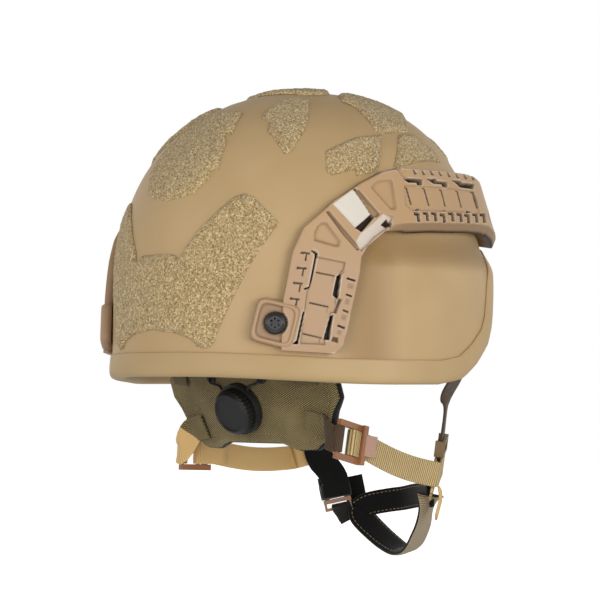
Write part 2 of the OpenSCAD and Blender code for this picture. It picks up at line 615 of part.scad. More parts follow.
module dial_knob() {
    color(black) at_dial() translate([0, 0, base_h + 0.3]) difference() {
        rotate_extrude($fn = 96) polygon([[0, 0], [dial_r - 0.6, 0], [dial_r, 0.6], [dial_r, dial_h - 2.6],
            [dial_r - 2.4, dial_h], [dial_r - 3.4, dial_h], [dial_r - 3.9, dial_h - 0.8], [0, dial_h - 0.8]]);
        translate([0, 0, -1]) cylinder(h = dial_h - 1.4, r = shaft_r + run_gap, $fn = 32);
        for (i = [0 : dial_ribs - 1]) rotate(i * 360 / dial_ribs) translate([dial_r + 0.35, 0, -1])
            cylinder(h = dial_h - 1, r = 0.9, $fn = 16);
    }
}

// Headband: from the nape, round the sides and across the brow, inside the pads
band_h = 18;
band_t = 1.5;
band_n = pad_n + pad_t + band_t / 2 + liner_gap;
function band_dome(a, z, g) = let (r = dome_r(a, z, g)) [-r * sin(a), -r * cos(a), z];
// Rows are [point, width direction]; the ends stay clear of the nape pad's travel
function band_row(a) = let (z = 106 - 0.62 * a, g = -shell_t - band_n)
    [band_dome(a, z, g), unit(band_dome(a, z + 6, g) - band_dome(a, z - 6, g))];
nape_up = unit([0, tan(nape_lean), 1]);
band_half = concat([for (x = [20, 36, 54, 66])
        [nape_point(-x, 2 + max(0, x - 36) * 0.4, -nape_pad_t - nape_travel - 1.75), nape_up]],
    [for (a = [98, 80, 62, 44, 28, 14, 0]) band_row(a)]);
band_rows = concat(band_half, [for (i = [len(band_half) - 2 : -1 : 0]) let (r = band_half[i])
    [[-r[0][0], r[0][1], r[0][2]], [-r[1][0], r[1][1], r[1][2]]]]);
function along_route(list, i) = unit(list[min(len(list) - 1, i + 1)] - list[max(0, i - 1)]);
function smooth_route(list, steps) = [for (i = [0 : len(list) - 2]) for (k = [0 : steps - 1])
    let (a = list[max(0, i - 1)], b = list[i], c = list[i + 1], d = list[min(len(list) - 1, i + 2)],
        t = k / steps)
    0.5 * (2 * b + (c - a) * t + (2 * a - 5 * b + 4 * c - d) * t * t + (3 * b - a - 3 * c + d) * t * t * t)];
function route(list, steps) = concat(smooth_route(list, steps), [list[len(list) - 1]]);
// Flat band along points; each width direction is squared to the route
function flat_ring(p, d, wide, w, t) = let (x = unit(wide - d * (wide * d)), n = cross(d, x))
    [for (q = [[1, 1], [1, -1], [-1, -1], [-1, 1]]) p + x * w / 2 * q[0] + n * t / 2 * q[1]];
module flat_band(points, wides, w, t) {
    swept([for (i = [0 : len(points) - 1]) flat_ring(points[i], along_route(points, i), wides[i], w, t)]);
}
// Harness pieces are rows of [point, width direction]; the right side is written, the left mirrors it
module webbing(rows, w, t, steps = 4) {
    flat_band(route([for (r = rows) r[0]], steps), route([for (r = rows) r[1]], steps), w, t);
}
module headband() {
    color("#232321") difference() {
        webbing(band_rows, band_h, band_t, 2);
        at_eyelets() cylinder(h = 60, r = eyelet_hole, center = true, $fn = 24);
    }
}

// Laces: spool, out of the base, through the eyelets, to the headband
lace_turn = 42;
function dial_out(x, y, z) = let (o = nape_point(0, dial_z, cover_off))
    o + [-x, y * sin(nape_lean) + z * cos(nape_lean), y * cos(nape_lean) - z * sin(nape_lean)];
function lace_half() = let (h = base_h / 2 + 0.5, s = sin(lace_turn), c = cos(lace_turn),
    n = nape_normal(-eyelet_x), e = nape_point(-eyelet_x, eyelet_z, cover_off))
    [dial_out((spool_r + 0.6) * s, (spool_r + 0.6) * c, h), dial_out(base_r * s, base_r * c, h),
    dial_out((base_r + 4) * s, (base_r + 4) * c, h - 0.3), e + n * 2.6 + [2.2, 0, -2.6], e + n * 1.8,
    e - n * 2, e - n * (nape_pad_t + cover_off + nape_travel + 3)];
module tube(points, r, sides) {
    swept([for (i = [0 : len(points) - 1])
        let (d = along_route(points, i), x = unit(cross(d, [0.3, 0.2, 0.93])), y = cross(d, x))
        [for (k = [0 : sides - 1]) let (t = k * 360 / sides) points[i] + r * (x * cos(t) + y * sin(t))]]);
}
module lace_right() { color(black) tube(route(lace_half(), 3), lace_r, 6); }
module lace_left() { mirrored() lace_right(); }

// Strap ends are held between the shell and the flange of a post nut
function tab_out(s) = shell_normal(s[0], high(s[1]), 0);
function tab_point(s) = on_shell(s[0], high(s[1]), 0) - tab_out(s) * (shell_t + tab_gap + web_t / 2);
function tab_wide(s) = unit(cross([0, 0, 1], tab_out(s)));
// Point down the strap from the middle of its tab, still flat to the shell
function tab_low(s, d) = tab_point(s) - cross(tab_out(s), tab_wide(s)) * d;
module strap_tab(s) {
    at_screw(s) translate([0, 0, tab_n]) cylinder(h = web_t, r = web_w / 2 + 1, $fn = 40);
}
module tab_hole(s) {
    at_screw(s) translate([0, 0, tab_n - 3]) cylinder(h = web_t + 6, r = post_r + 0.3, $fn = 32);
}
// The closed buckle draws the left strap in and up, so its lower points are shifted by this
drawn_in = [5, -5, 8];
right_side = [0, 0, 0];
chin_wide = [-0.6, 0.8, 0];
cheek_wide = [-0.3, 0.95, 0];
slider_at = [-67, -69, -49];
strap_end = [-60, -72, -75];
strap_down = unit(strap_end - slider_at);
function front_rows(s) = [[tab_point(screw_seats[1]), -tab_wide(screw_seats[1])],
    [tab_low(screw_seats[1], flange_r + 2), -tab_wide(screw_seats[1])],
    [[34 - half_width, -72, 78], [-0.62, 0.78, 0]], [[26 - half_width, -63, 40], cheek_wide],
    [[27 - half_width, -60, 6] + s * 0.3, cheek_wide],
    [slider_at - strap_down * 36 + s, cheek_wide], [slider_at - strap_down * 26 + s, chin_wide],
    [slider_at - strap_down * 9 + s, chin_wide], [slider_at + s, chin_wide]];
// Points round a bar at c: d points away from the strap, side is the face that it comes in on
function round_bar(c, d, side, r) = [for (t = [90 : -30 : -90]) c + d * r * cos(t) + side * r * sin(t)];
module front_strap(s, last) {
    rows = concat(front_rows(s), last);
    color(webbing_colour) difference() {
        union() {
            webbing(rows, web_w, web_t, 3);
            strap_tab(screw_seats[1]);
        }
        tab_hole(screw_seats[1]);
    }
}
module front_strap_right() { front_strap(right_side, [[strap_end, chin_wide]]); }
// The left strap folds round the buckle socket's bar
module front_strap_left() {
    mirrored() front_strap(drawn_in, [[slider_at + drawn_in + strap_down * 16, chin_wide],
        [slider_at + drawn_in + strap_down * 24.5, chin_wide],
        for (q = concat([socket_bar + fold_z * 2 - fold_y * 3],
            round_bar(socket_bar, fold_y, fold_z, bar_wrap),
            [socket_bar - fold_z * 1.7 - fold_y * 2.5])) [q, -fold_x]]);
}

// Slider on the front strap: the strap runs under two bars and over the middle one
strap_x = unit(chin_wide - strap_down * (chin_wide * strap_down));
strap_z = cross(strap_x, strap_down);
fitting_half = web_w / 2 + web_gap;
lock_bar_r = 1.5;
bar_wrap = lock_bar_r + web_gap + web_t / 2;
level = web_t / 2 + web_gap;
slider_l = 11;
module strap_slider(s) {
    color(rail_colour) multmatrix(frame(slider_at + s, strap_x, strap_down, strap_z)) {
        for (side = [1, -1]) translate([side * (fitting_half + 1) - 1, -slider_l / 2, -level - bar_t])
            cube([2, slider_l, 2 * (level + bar_t)]);
        for (y = [-slider_l / 2, slider_l / 2 - 2.4]) translate([-fitting_half - 0.5, y, level])
            cube([2 * fitting_half + 1, 2.4, bar_t]);
        translate([-fitting_half - 0.5, -1.5, -level - bar_t]) cube([2 * fitting_half + 1, 3, bar_t]);
    }
}
module slider_right() { strap_slider(right_side); }
module slider_left() { mirrored() strap_slider(drawn_in); }

// Ladderlock at the nape pad's side: x across the webbing, y toward the front, z away from the head.
// It swings on the round rear bar that the nape tab loops round
loop_at = slider_at + strap_down * 15.2;
lock_right_at = [-78.8, 34, -44.5];
lock_left_at = [-72, 30.5, -54];
function lock_frame(s) = let (at = s == right_side ? lock_right_at : lock_left_at,
    y = unit(loop_at + s + strap_x * 10 - at), up = unit([0, 0, 1] - y * y[2])) [at, -up, y, -cross(up, y)];
function lock_out(k, y, z) = k[0] + k[2] * y + k[3] * z;
lock_l = 26;
lock_rail = 4;
lock_side = fitting_half + lock_rail / 2;
lock_bar_y = lock_l / 2 - lock_bar_r;
lock_mid_y = 2.5;
lock_bridge = 2.5;
module ladderlock(s) {
    k = lock_frame(s);
    color("#b28a5c") multmatrix(frame(k[0], k[1], k[2], k[3])) {
        for (side = [1, -1]) translate([side * lock_side - lock_rail / 2, -lock_l / 2, -bar_t / 2 - 0.4])
            cube([lock_rail, lock_l, bar_t + 0.8]);
        for (y = [-lock_bar_y, lock_mid_y]) translate([-fitting_half - 1, y, 0]) rotate([0, 90, 0])
            cylinder(h = 2 * fitting_half + 2, r = lock_bar_r, $fn = 32);
        for (side = [1, -1]) translate([side * lock_side - lock_rail / 2, lock_l / 2 - 4, 0])
            cube([lock_rail, 4, lock_bridge + bar_t]);
        translate([-fitting_half - 1, lock_l / 2 - 4, lock_bridge]) cube([2 * fitting_half + 2, 4, bar_t]);
        translate([0, lock_l / 2 - 1, lock_bridge + bar_t / 2]) rotate([30, 0, 0])
            translate([-7, 0, -bar_t / 2]) cube([14, 8, bar_t]);
    }
}
module ladderlock_right() { ladderlock(right_side); }
module ladderlock_left() { mirrored() ladderlock(drawn_in); }

// Nape tab: webbing sewn on the cover, out to the ladderlock's rear bar, round it and back
sewn_off = cover_off + liner_gap + web_t / 2;
// sewn lists points on the cover: across, height, and how far the tab has lifted off
module nape_tab(s, sewn) {
    k = lock_frame(s);
    up = -k[1];
    bar = lock_out(k, -lock_bar_y, 0);
    rows = [for (q = sewn) nape_point(q[0], q[1], sewn_off + q[2])];
    reach = bar - rows[len(rows) - 1];
    out = unit(reach - up * (reach * up));
    side = cross(out, up);
    turn = concat([bar - out * 4.5 + side * 2.2], round_bar(bar, out, side, bar_wrap),
        [bar - out * 3 - side * 2.2, bar - out * 5.5 - side * 0.4]);
    color(webbing_colour) flat_band(concat(rows, turn),
        concat([for (q = sewn) nape_up], [for (q = turn) up]), web_w, web_t);
}
module nape_tab_right() {
    nape_tab(right_side, [[-52, -32, 0.1], [-57, -33, 0.2], [-62, -34, 0.5], [-67, -35, 1.6]]);
}
module nape_tab_left() {
    mirrored() nape_tab(drawn_in, [[-44, -36, 0.6], [-50, -37, 1.2], [-56, -38, 2.3], [-61, -41, 3.8]]);
}

// Rear strap: tail, round the ladderlock's middle bar, forward, and a sewn loop round the front strap
strap_sag = 3;
wrap_out = web_t + web_gap;
wrap_edge = web_w / 2 + web_gap + web_t / 2;
module rear_strap(s) {
    k = lock_frame(s);
    up = -k[1];
    a = lock_out(k, lock_l / 2 + 4, 0.95);
    b = loop_at + s + strap_x * (wrap_edge + 9) + strap_z * wrap_out;
    near_lock = concat(
        [for (q = [[lock_l / 2 + 14, -1], [lock_l / 2 + 2, -1], [lock_mid_y + 5, -1.8]])
            lock_out(k, q[0], q[1])],
        [for (t = [-90 : 30 : 90]) lock_out(k, lock_mid_y - bar_wrap * cos(t), bar_wrap * sin(t))],
        [lock_out(k, lock_mid_y + 5, 1.6), lock_out(k, lock_l / 2, 0.95), a]);
    along = [for (f = [0.25, 0.5, 0.75]) mix(a, b, f) + [0, 0, -strap_sag * sin(180 * f)]];
    sewn = concat([for (x = [wrap_edge + 9, wrap_edge + 1, 5, -7]) [x, wrap_out]],
        [for (t = [120 : 30 : 240]) [-web_w / 2 + 0.5 + wrap_out * cos(t), wrap_out * sin(t)]],
        [[-6, -wrap_out], [wrap_edge + 0.5, -wrap_out], [wrap_edge + 7, -0.3]]);
    color(webbing_colour) flat_band(
        concat(near_lock, along, [for (q = sewn) loop_at + s + strap_x * q[0] + strap_z * q[1]]),
        concat([for (q = near_lock) up], [for (f = [0.2, 0.5, 0.8]) unit(mix(up, -strap_down, f))],
            [for (q = sewn) -strap_down]), web_w, web_t);
}
module rear_strap_right() { rear_strap(right_side); }
module rear_strap_left() { mirrored() rear_strap(drawn_in); }

// Nape hanger: from the rear post nut down to the outside of the cover, on which it is sewn
hanger_x = -60;
hanger_wide = unit([-1, 2 * nape_bow * hanger_x / pow(nape_half_w, 2), 0]);
module nape_hanger() {
    seat = screw_seats[0];
    low = tab_low(seat, flange_r + 2) - tab_out(seat) * 0.3;
    color(webbing_colour) difference() {
        union() {
            webbing([[tab_point(seat), tab_wide(seat)], [low, tab_wide(seat)],
                [low + [3, -6, -9], hanger_wide],
                [nape_point(hanger_x, 9, sewn_off + 2.4), hanger_wide],
                [nape_point(hanger_x, 1, sewn_off + 0.7), hanger_wide],
                [nape_point(hanger_x, -8, sewn_off + 0.4), hanger_wide]], web_w, web_t, 3);
            strap_tab(seat);
        }
        tab_hole(seat);
    }
}
module nape_hanger_right() { nape_hanger(); }
module nape_hanger_left() { mirrored() nape_hanger(); }

// Chin cup: two padded bands that part at the left end and meet again at the right
cup_left = [36, -95.4, -98];
cup_right = [-50, -77, -83.5];
upper_rows = [[cup_left, [0.5, 0.5, 0.7]], [[28, -98.5, -93.5], [0.2, 0.2, 0.95]],
    [[14, -103, -90.5], [0, 0.1, 1]], [[0, -104.5, -88.5], [0, 0.1, 1]], [[-16, -99, -86], [0, 0.1, 1]],
    [[-34, -88.5, -84.5], [0, 0.1, 1]], [cup_right, [-0.3, 0.4, 0.9]]];
lower_rows = [[cup_left, [0.5, 0.5, 0.7]], [[31, -95, -103.5], [0.3, 0.8, -0.3]],
    [[21, -97.5, -112.5], [0.2, 0.88, -0.42]], [[8, -98, -120.5], [0.15, 0.93, -0.35]],
    [[-6, -96, -125], [0.1, 0.97, -0.2]], [[-21, -90.5, -121], [0, 0.97, -0.2]],
    [[-34, -84.5, -109], [-0.1, 0.97, -0.15]], [[-43, -79.5, -96], [-0.3, 0.9, 0]],
    [cup_right, [-0.3, 0.4, 0.9]]];
// Half of a padded band's outline, as shares of its half width and half thickness
band_outline = [[-1, 0], [-0.9, 0.8], [0, 1], [0.9, 0.8], [1, 0], [0.9, -0.8], [0, -1], [-0.9, -0.8]];
module chin_band(rows, w) {
    points = route([for (r = rows) r[0]], 3);
    wides = route([for (r = rows) r[1]], 3);
    swept([for (i = [0 : len(points) - 1]) let (d = along_route(points, i),
        x = unit(wides[i] - d * (wides[i] * d)), n = cross(d, x))
        [for (q = band_outline) points[i] + x * q[0] * w / 2 + n * q[1] * chin_t / 2]]);
}
module chin_cup() {
    color(black) {
        chin_band(upper_rows, chin_w - 3);
        chin_band(lower_rows, chin_w - 1);
        webbing(tail_rows, web_w - 2, tail_t);
        webbing(plug_loop, web_w - 4, web_t);
    }
}
module chin_strap_right() {
    lap = -strap_z * (web_t + 0.5);
    color(webbing_colour) webbing([[strap_end - strap_down * 1.4 + lap, chin_wide],
        [strap_end + strap_down * 2 + lap, chin_wide],
        [cup_right + [-2.7, 1, 2.6], chin_wide]], web_w - 2, web_t);
}
module strap_tail_right() {
    color(webbing_colour) webbing([[[-60.8, -74.3, -78.5], chin_wide], [[-62.5, -73, -86], chin_wide],
        [[-63, -68, -98], chin_wide]], web_w - 3, web_t);
}
// Buckle: socket on the left strap, plug on the chin cup; its line is the arc that the cup swings on
buckle_at = [48.5, -83, -79.4];
buckle_y = unit(cross(chin_wide, buckle_at + [-3, -2, -12] - strap_end));
buckle_x = unit([0.6, 0.8, 0] - buckle_y * ([0.6, 0.8, 0] * buckle_y));
buckle_z = cross(buckle_x, buckle_y);
socket_l = 10;
socket_w = web_w + 2 * (web_gap + 2);
socket_t = 7;
wall = 1.4;
prong_l = 6;
prong_w = 3.2;
prong_gap = 0.6;
prong_x = socket_w / 2 - wall - prong_gap - prong_w / 2;
bar_space = 3;
// The socket's strap bar, and its frame mirrored to the side on which the straps are written
socket_bar_y = -bar_space - lock_bar_r;
function other_side(v) = [-v[0], v[1], v[2]];
socket_bar = other_side(buckle_at + buckle_y * socket_bar_y);
fold_x = other_side(buckle_x);
fold_y = other_side(buckle_y);
fold_z = other_side(buckle_z);
module at_buckle() { multmatrix(frame(buckle_at, buckle_x, buckle_y, buckle_z)) children(); }
module buckle_socket() {
    inner_w = socket_w - 2 * wall;
    inner_t = socket_t - 2 * wall;
    color(black) at_buckle() {
        difference() {
            translate([-socket_w / 2, 0, -socket_t / 2]) cube([socket_w, socket_l, socket_t]);
            translate([-inner_w / 2, socket_l - prong_l - 2, -inner_t / 2]) cube([inner_w, 30, inner_t]);
            for (side = [1, -1]) translate([side * socket_w / 2 - 2.5, socket_l - 7, -inner_t / 2])
                cube([5, 5, inner_t]);
        }
        for (side = [1, -1])
            translate([side * (socket_w / 2 - 1) - 1, socket_bar_y - lock_bar_r, -lock_bar_r])
            cube([2, -socket_bar_y + lock_bar_r + 1, 2 * lock_bar_r]);
        translate([-socket_w / 2 + 1, socket_bar_y, 0]) rotate([0, 90, 0])
            cylinder(h = socket_w - 2, r = lock_bar_r, $fn = 32);
    }
}
// Point in the buckle's frame: across, down and toward the cheek
function in_buckle(v) = buckle_at + buckle_x * v[0] + buckle_y * v[1] + buckle_z * v[2];
// The cup's webbing loops round the plug's bar, and its free end stands up past the buckle
plug_lip = 3;
plug_bar_y = socket_l + 0.4 + plug_lip + bar_space + bar_t / 2;
plug_wrap = bar_t * 0.71 + web_gap + web_t / 2;
plug_loop = concat(
    [for (v = [[-5, plug_bar_y + 10, 3.5], [-3.5, plug_bar_y + 5, 2.4]]) [in_buckle(v), buckle_x]],
    [for (t = [0 : 30 : 180])
        [in_buckle([-1.8, plug_bar_y - plug_wrap * sin(t), plug_wrap * cos(t)]), buckle_x]],
    [for (v = [[-3.5, plug_bar_y + 4.5, -0.6], [-4.5, plug_bar_y + 8.5, 1]]) [in_buckle(v), buckle_x]]);
tail_t = 2.4;
tail_rows = [[[35.3, -97.4, -98.9], buckle_x], [[41.4, -99.6, -91], buckle_x],
    [[43.6, -99.4, -83], buckle_x], [[45, -98.2, -74], buckle_x]];
// Padded flap between the closed buckle and the cheek
flap_t = 2.4;
flap_rows = [[loop_at + drawn_in - strap_down * 5 - strap_z * 4.4, strap_x],
    [loop_at + drawn_in + strap_down * 6 - strap_z * 4.4, strap_x],
    [socket_bar + fold_z * (socket_t / 2 + flap_t / 2 + 0.9) - fold_y, fold_x],
    [other_side(in_buckle([0, socket_l - 1, socket_t / 2 + flap_t / 2 + 0.4])), fold_x]];
module buckle_flap() {
    color(black) mirrored() webbing(flap_rows, socket_w - 2, flap_t);
}
module buckle_plug() {
    plug_w = socket_w - 2;
    color("#a5734f") at_buckle() translate([0, socket_l + 0.4, 0]) difference() {
        union() {
            translate([-plug_w / 2, 0, -2.4]) cube([plug_w, plug_lip, 4.8]);
            for (side = [1, -1]) translate([side * prong_x - prong_w / 2, -prong_l, -1.3])
                cube([prong_w, prong_l + 1, 2.6]);
            translate([-plug_w / 2, plug_lip - 1, -bar_t / 2]) cube([plug_w, bar_space + bar_t + 1, bar_t]);
        }
        translate([-plug_w / 2 + 1.5, plug_lip, -9]) cube([plug_w - 3, bar_space, 18]);
    }
}

helmet_shell();
edge_trim();
patch_rear();
patch_rear_top();
patch_crown();
patch_arrow_right();
patch_arrow_left();
patch_front_top();
patch_side_rear_right();
patch_side_rear_left();
patch_side_front_right();
patch_side_front_left();
patch_front();
rail_right();
rail_left();
rail_screws();
post_nuts();
pad_crown();
pad_front();
pad_rear();
pads_side_right();
pads_side_left();
hook_discs();
nape_lining();
nape_cover();
eyelets();
dial_base();
dial_plate();
dial_spool();
dial_knob();
headband();
lace_right();
lace_left();
nape_hanger_right();
nape_hanger_left();
nape_tab_right();
nape_tab_left();
ladderlock_right();
ladderlock_left();
rear_strap_right();
rear_strap_left();
front_strap_right();
front_strap_left();
slider_right();
slider_left();
chin_strap_right();
strap_tail_right();
buckle_socket();
buckle_plug();
buckle_flap();
chin_cup();
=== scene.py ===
import math

import bmesh
import bpy
import numpy as np
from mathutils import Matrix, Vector
from mathutils.geometry import delaunay_2d_cdt


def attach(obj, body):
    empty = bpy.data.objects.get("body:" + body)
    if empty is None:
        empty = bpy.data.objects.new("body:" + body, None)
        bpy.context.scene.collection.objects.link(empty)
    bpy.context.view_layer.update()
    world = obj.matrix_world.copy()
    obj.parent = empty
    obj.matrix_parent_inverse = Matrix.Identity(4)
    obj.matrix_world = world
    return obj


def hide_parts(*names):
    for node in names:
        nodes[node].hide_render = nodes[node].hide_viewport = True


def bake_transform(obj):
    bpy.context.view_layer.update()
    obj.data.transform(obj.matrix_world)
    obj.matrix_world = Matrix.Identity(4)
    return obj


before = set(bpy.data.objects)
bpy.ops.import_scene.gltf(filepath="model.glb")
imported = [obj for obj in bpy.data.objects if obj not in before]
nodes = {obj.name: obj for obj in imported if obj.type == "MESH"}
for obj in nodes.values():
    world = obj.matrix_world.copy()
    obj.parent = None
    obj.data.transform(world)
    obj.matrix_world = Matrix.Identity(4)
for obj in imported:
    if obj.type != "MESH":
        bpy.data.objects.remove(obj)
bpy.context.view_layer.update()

rng = np.random.default_rng(7)

# The helmet, in millimetres: angles run from 0 at the face by 90 at the wearer's right to 180 at the
# nape, heights from the rim's level at the nape. Pieces are drawn on the right and mirrored.
HALF_W, HALF_L, CROWN, SHELL_T = 119.0, 133.0, 191.0, 8.0
UP_POWER, OUT_POWER, OUT_SWAY = 3.4, 2.12, .25
BROW, DROP = 72.0, 5.0
BULGE, EAR_TOP, EAR_FADE, EAR_FRONT, EAR_BACK, EAR_SIDE = 9.0, 66.0, 26, (-98, -64), (31, 70), .3
# share of the brow's height that the rim has at each angle
RISE = np.array([[40, 1], [47, .98], [53, .92], [56.5, .80], [58, .66], [60, .48], [64, .32], [72, .16],
                 [80, .04], [90, 0]])
DEG = np.pi / 180


def sind(a):
    return np.sin(np.asarray(a) * DEG)


def cosd(a):
    return np.cos(np.asarray(a) * DEG)


def vec(*v):
    return np.array(v, float)


def floats(*v):
    return np.broadcast_arrays(*[np.asarray(x, float) for x in v])


def sm(lo, hi, x):
    """Smooth step from 0 at lo to 1 at hi."""
    t = np.clip((x - lo) / (hi - lo), 0, 1)
    return t * t * (3 - 2 * t)


def unit(v):
    v = np.asarray(v, float)
    return v / np.linalg.norm(v, axis=-1, keepdims=True)


def square_to(v, d):
    """Direction of v with its part along d taken out."""
    return unit(v - d * np.sum(v * d, -1, keepdims=True))


def flip_x(v, left=True):
    return v * vec(-1, 1, 1) if left else v


def side_name(left):
    return "left" if left else "right"


def run_of(p):
    """Length along a line of points, up to each point."""
    return np.concatenate([[0], np.cumsum(np.linalg.norm(p[1:] - p[:-1], axis=1))])


def blurred(y, half):
    k = np.exp(-np.linspace(-2, 2, 2 * half + 1) ** 2)
    return np.convolve(np.pad(y, half, mode="edge"), k / k.sum(), mode="valid")


def polar(r, a, z):
    return np.stack([-r * sind(a), -r * cosd(a), z], -1)


def out_power(a):
    return OUT_POWER + OUT_SWAY * cosd(a)


def plan_r(a, g):
    return ((np.abs(sind(a)) / (HALF_W + g)) ** 2 + (np.abs(cosd(a)) / (HALF_L + g)) ** 2) ** -0.5


def dome_r(a, z, g):
    """Radius of the plain dome, g out from the shell's face."""
    k = np.clip(z / (CROWN + g), 0, 1)
    return plan_r(a, g) * (1 - k ** UP_POWER) ** (1 / out_power(a))


def on_shell(a, z, g=0.0):
    """The dome with its ear bulges."""
    a, z, g = floats(a, z, g)
    r = dome_r(a, z, g)
    y = -r * cosd(a)
    ear = BULGE * (1 - sm(*EAR_BACK, y)) * (1 - sm(EAR_TOP, EAR_TOP + EAR_FADE, z)) * sm(*EAR_FRONT, y)
    return polar(r + ear * np.clip((np.abs(sind(a)) - EAR_SIDE) / EAR_SIDE, 0, 1), a, z)


def normal_of(face, a, z):
    return unit(np.cross(face(a, z + .5) - face(a, z - .5), face(a + .5, z) - face(a - .5, z)))


def normal(a, z, g=0.0):
    return normal_of(lambda a, z: on_shell(a, z, g), a, z)


rise_at = np.arange(0, 90.01, .25)
rise = blurred(np.interp(rise_at, RISE[:, 0], RISE[:, 1]), 6)


def rim_z(a):
    b = np.mod(np.asarray(a, float), 360)
    b = np.where(b > 180, 360 - b, b)
    front = -DROP + (BROW + DROP) * np.interp(b, rise_at, rise)
    return np.where(b < 90, front, -DROP * (1 - sm(105, 170, b)))


def stations(fine_to, step):
    """Angles round the rim, fine where it steps up to the brow."""
    half = np.concatenate([np.arange(0, 44, 3.0), np.arange(44, fine_to, step), np.arange(fine_to, 130, 2.0),
                           np.arange(130, 180, 4.0)])
    return np.concatenate([half, [180.0], 360 - half[:0:-1]])


# Meshes
def make(name, verts, faces, uvs=None, smooth=True, mats=()):
    me = bpy.data.meshes.new(name)
    me.from_pydata([tuple(v) for v in np.asarray(verts) / 1000.0], [],
                   [tuple(int(i) for i in f) for f in faces])
    if uvs is not None:
        corner = np.empty(len(me.loops), dtype=np.int64)
        me.loops.foreach_get("vertex_index", corner)
        me.uv_layers.new(name="mm").data.foreach_set("uv", np.asarray(uvs)[corner].astype(np.float32).ravel())
    me.polygons.foreach_set("use_smooth", [smooth] * len(me.polygons))
    me.update()
    o = bpy.data.objects.new(name, me)
    bpy.context.scene.collection.objects.link(o)
    for m in mats:
        me.materials.append(M[m])
    return o


def solid(*args, **kw):
    """A closed mesh, its faces turned outward."""
    o = make(*args, **kw)
    bm = bmesh.new()
    bm.from_mesh(o.data)
    bmesh.ops.recalc_face_normals(bm, faces=bm.faces)
    bm.to_mesh(o.data)
    bm.free()
    return o


def place(o, node, body):
    """Stand a piece in for a CAD node, on its body, where these are given."""
    if node:
        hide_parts(node)
    if body:
        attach(o, body)
    return o


def store(o, name, values):
    """Keep a share for each vertex, for a material to read."""
    at = o.data.attributes.new(name, "FLOAT", "POINT")
    at.data.foreach_set("value", np.asarray(values).ravel().astype(np.float32))


def grid_faces(nu, nv, close_u=False, close_v=False, off=0):
    """Faces of an nu by nv grid of points, v fastest."""
    out = []
    for i in range(nu if close_u else nu - 1):
        a, b = off + i * nv, off + ((i + 1) % nu) * nv
        for j in range(nv if close_v else nv - 1):
            k = (j + 1) % nv
            out.append((a + j, b + j, b + k, a + k))
    return out


def cap_faces(n, m, off=0):
    """End faces of n rings of m points."""
    return [tuple(off + j for j in range(m)), tuple(off + (n - 1) * m + j for j in range(m - 1, -1, -1))]


def sweep(name, rings, uv=None, close=False, mats=()):
    """Closed cross-sections, joined one to the next."""
    rings = np.asarray(rings)
    n, m = rings.shape[:2]
    faces = grid_faces(n, m, close_u=close, close_v=True) + ([] if close else cap_faces(n, m))
    flat_uv = None if uv is None else np.asarray(uv).reshape(-1, 2)
    return solid(name, rings.reshape(-1, 3), faces, flat_uv, mats=mats)


def catmull(pts, steps):
    p = np.asarray(pts, float)
    out = []
    n = len(p)
    for i in range(n - 1):
        a, b, c, d = p[max(0, i - 1)], p[i], p[i + 1], p[min(n - 1, i + 2)]
        for k in range(steps):
            t = k / steps
            out.append(.5 * (2 * b + (c - a) * t + (2 * a - 5 * b + 4 * c - d) * t * t
                             + (3 * b - a - 3 * c + d) * t ** 3))
    out.append(p[-1])
    return np.array(out)


def tangents(p):
    return unit(np.concatenate([p[1:2] - p[:1], p[2:] - p[:-2], p[-1:] - p[-2:-1]]))


def section(corner):
    """A strap's section, mirrored from one corner: shares of half its width and half its thickness."""
    low = corner + [(-x, y) for x, y in corner[-2::-1]]
    return np.array(low + [(-x, -y) for x, y in low])


STRAP = section([(-1, -.2), (-.985, -.85), (-.93, -1), (-.5, -1), (0, -1)])
PADDED = section([(-1, -.25), (-.97, -.55), (-.86, -.62), (-.8, -.66), (-.7, -.9), (-.35, -1), (0, -1.02)])


def strap_axes(rows, steps):
    """Points along a strap, and its directions across the width and out of the face."""
    p, wide = catmull([r[0] for r in rows], steps), catmull([r[1] for r in rows], steps)
    d = tangents(p)
    x = square_to(wide, d)
    return p, x, np.cross(d, x)


# Materials
def col(c):
    """Screen colour, 0 to 255, as a linear one."""
    c = np.asarray(c, float) / 255
    return (*[float(v) for v in np.where(c <= .04045, c / 12.92, ((c + .055) / 1.055) ** 2.4)], 1.0)


BLACK, WHITE = (0, 0, 0, 1), (1, 1, 1, 1)


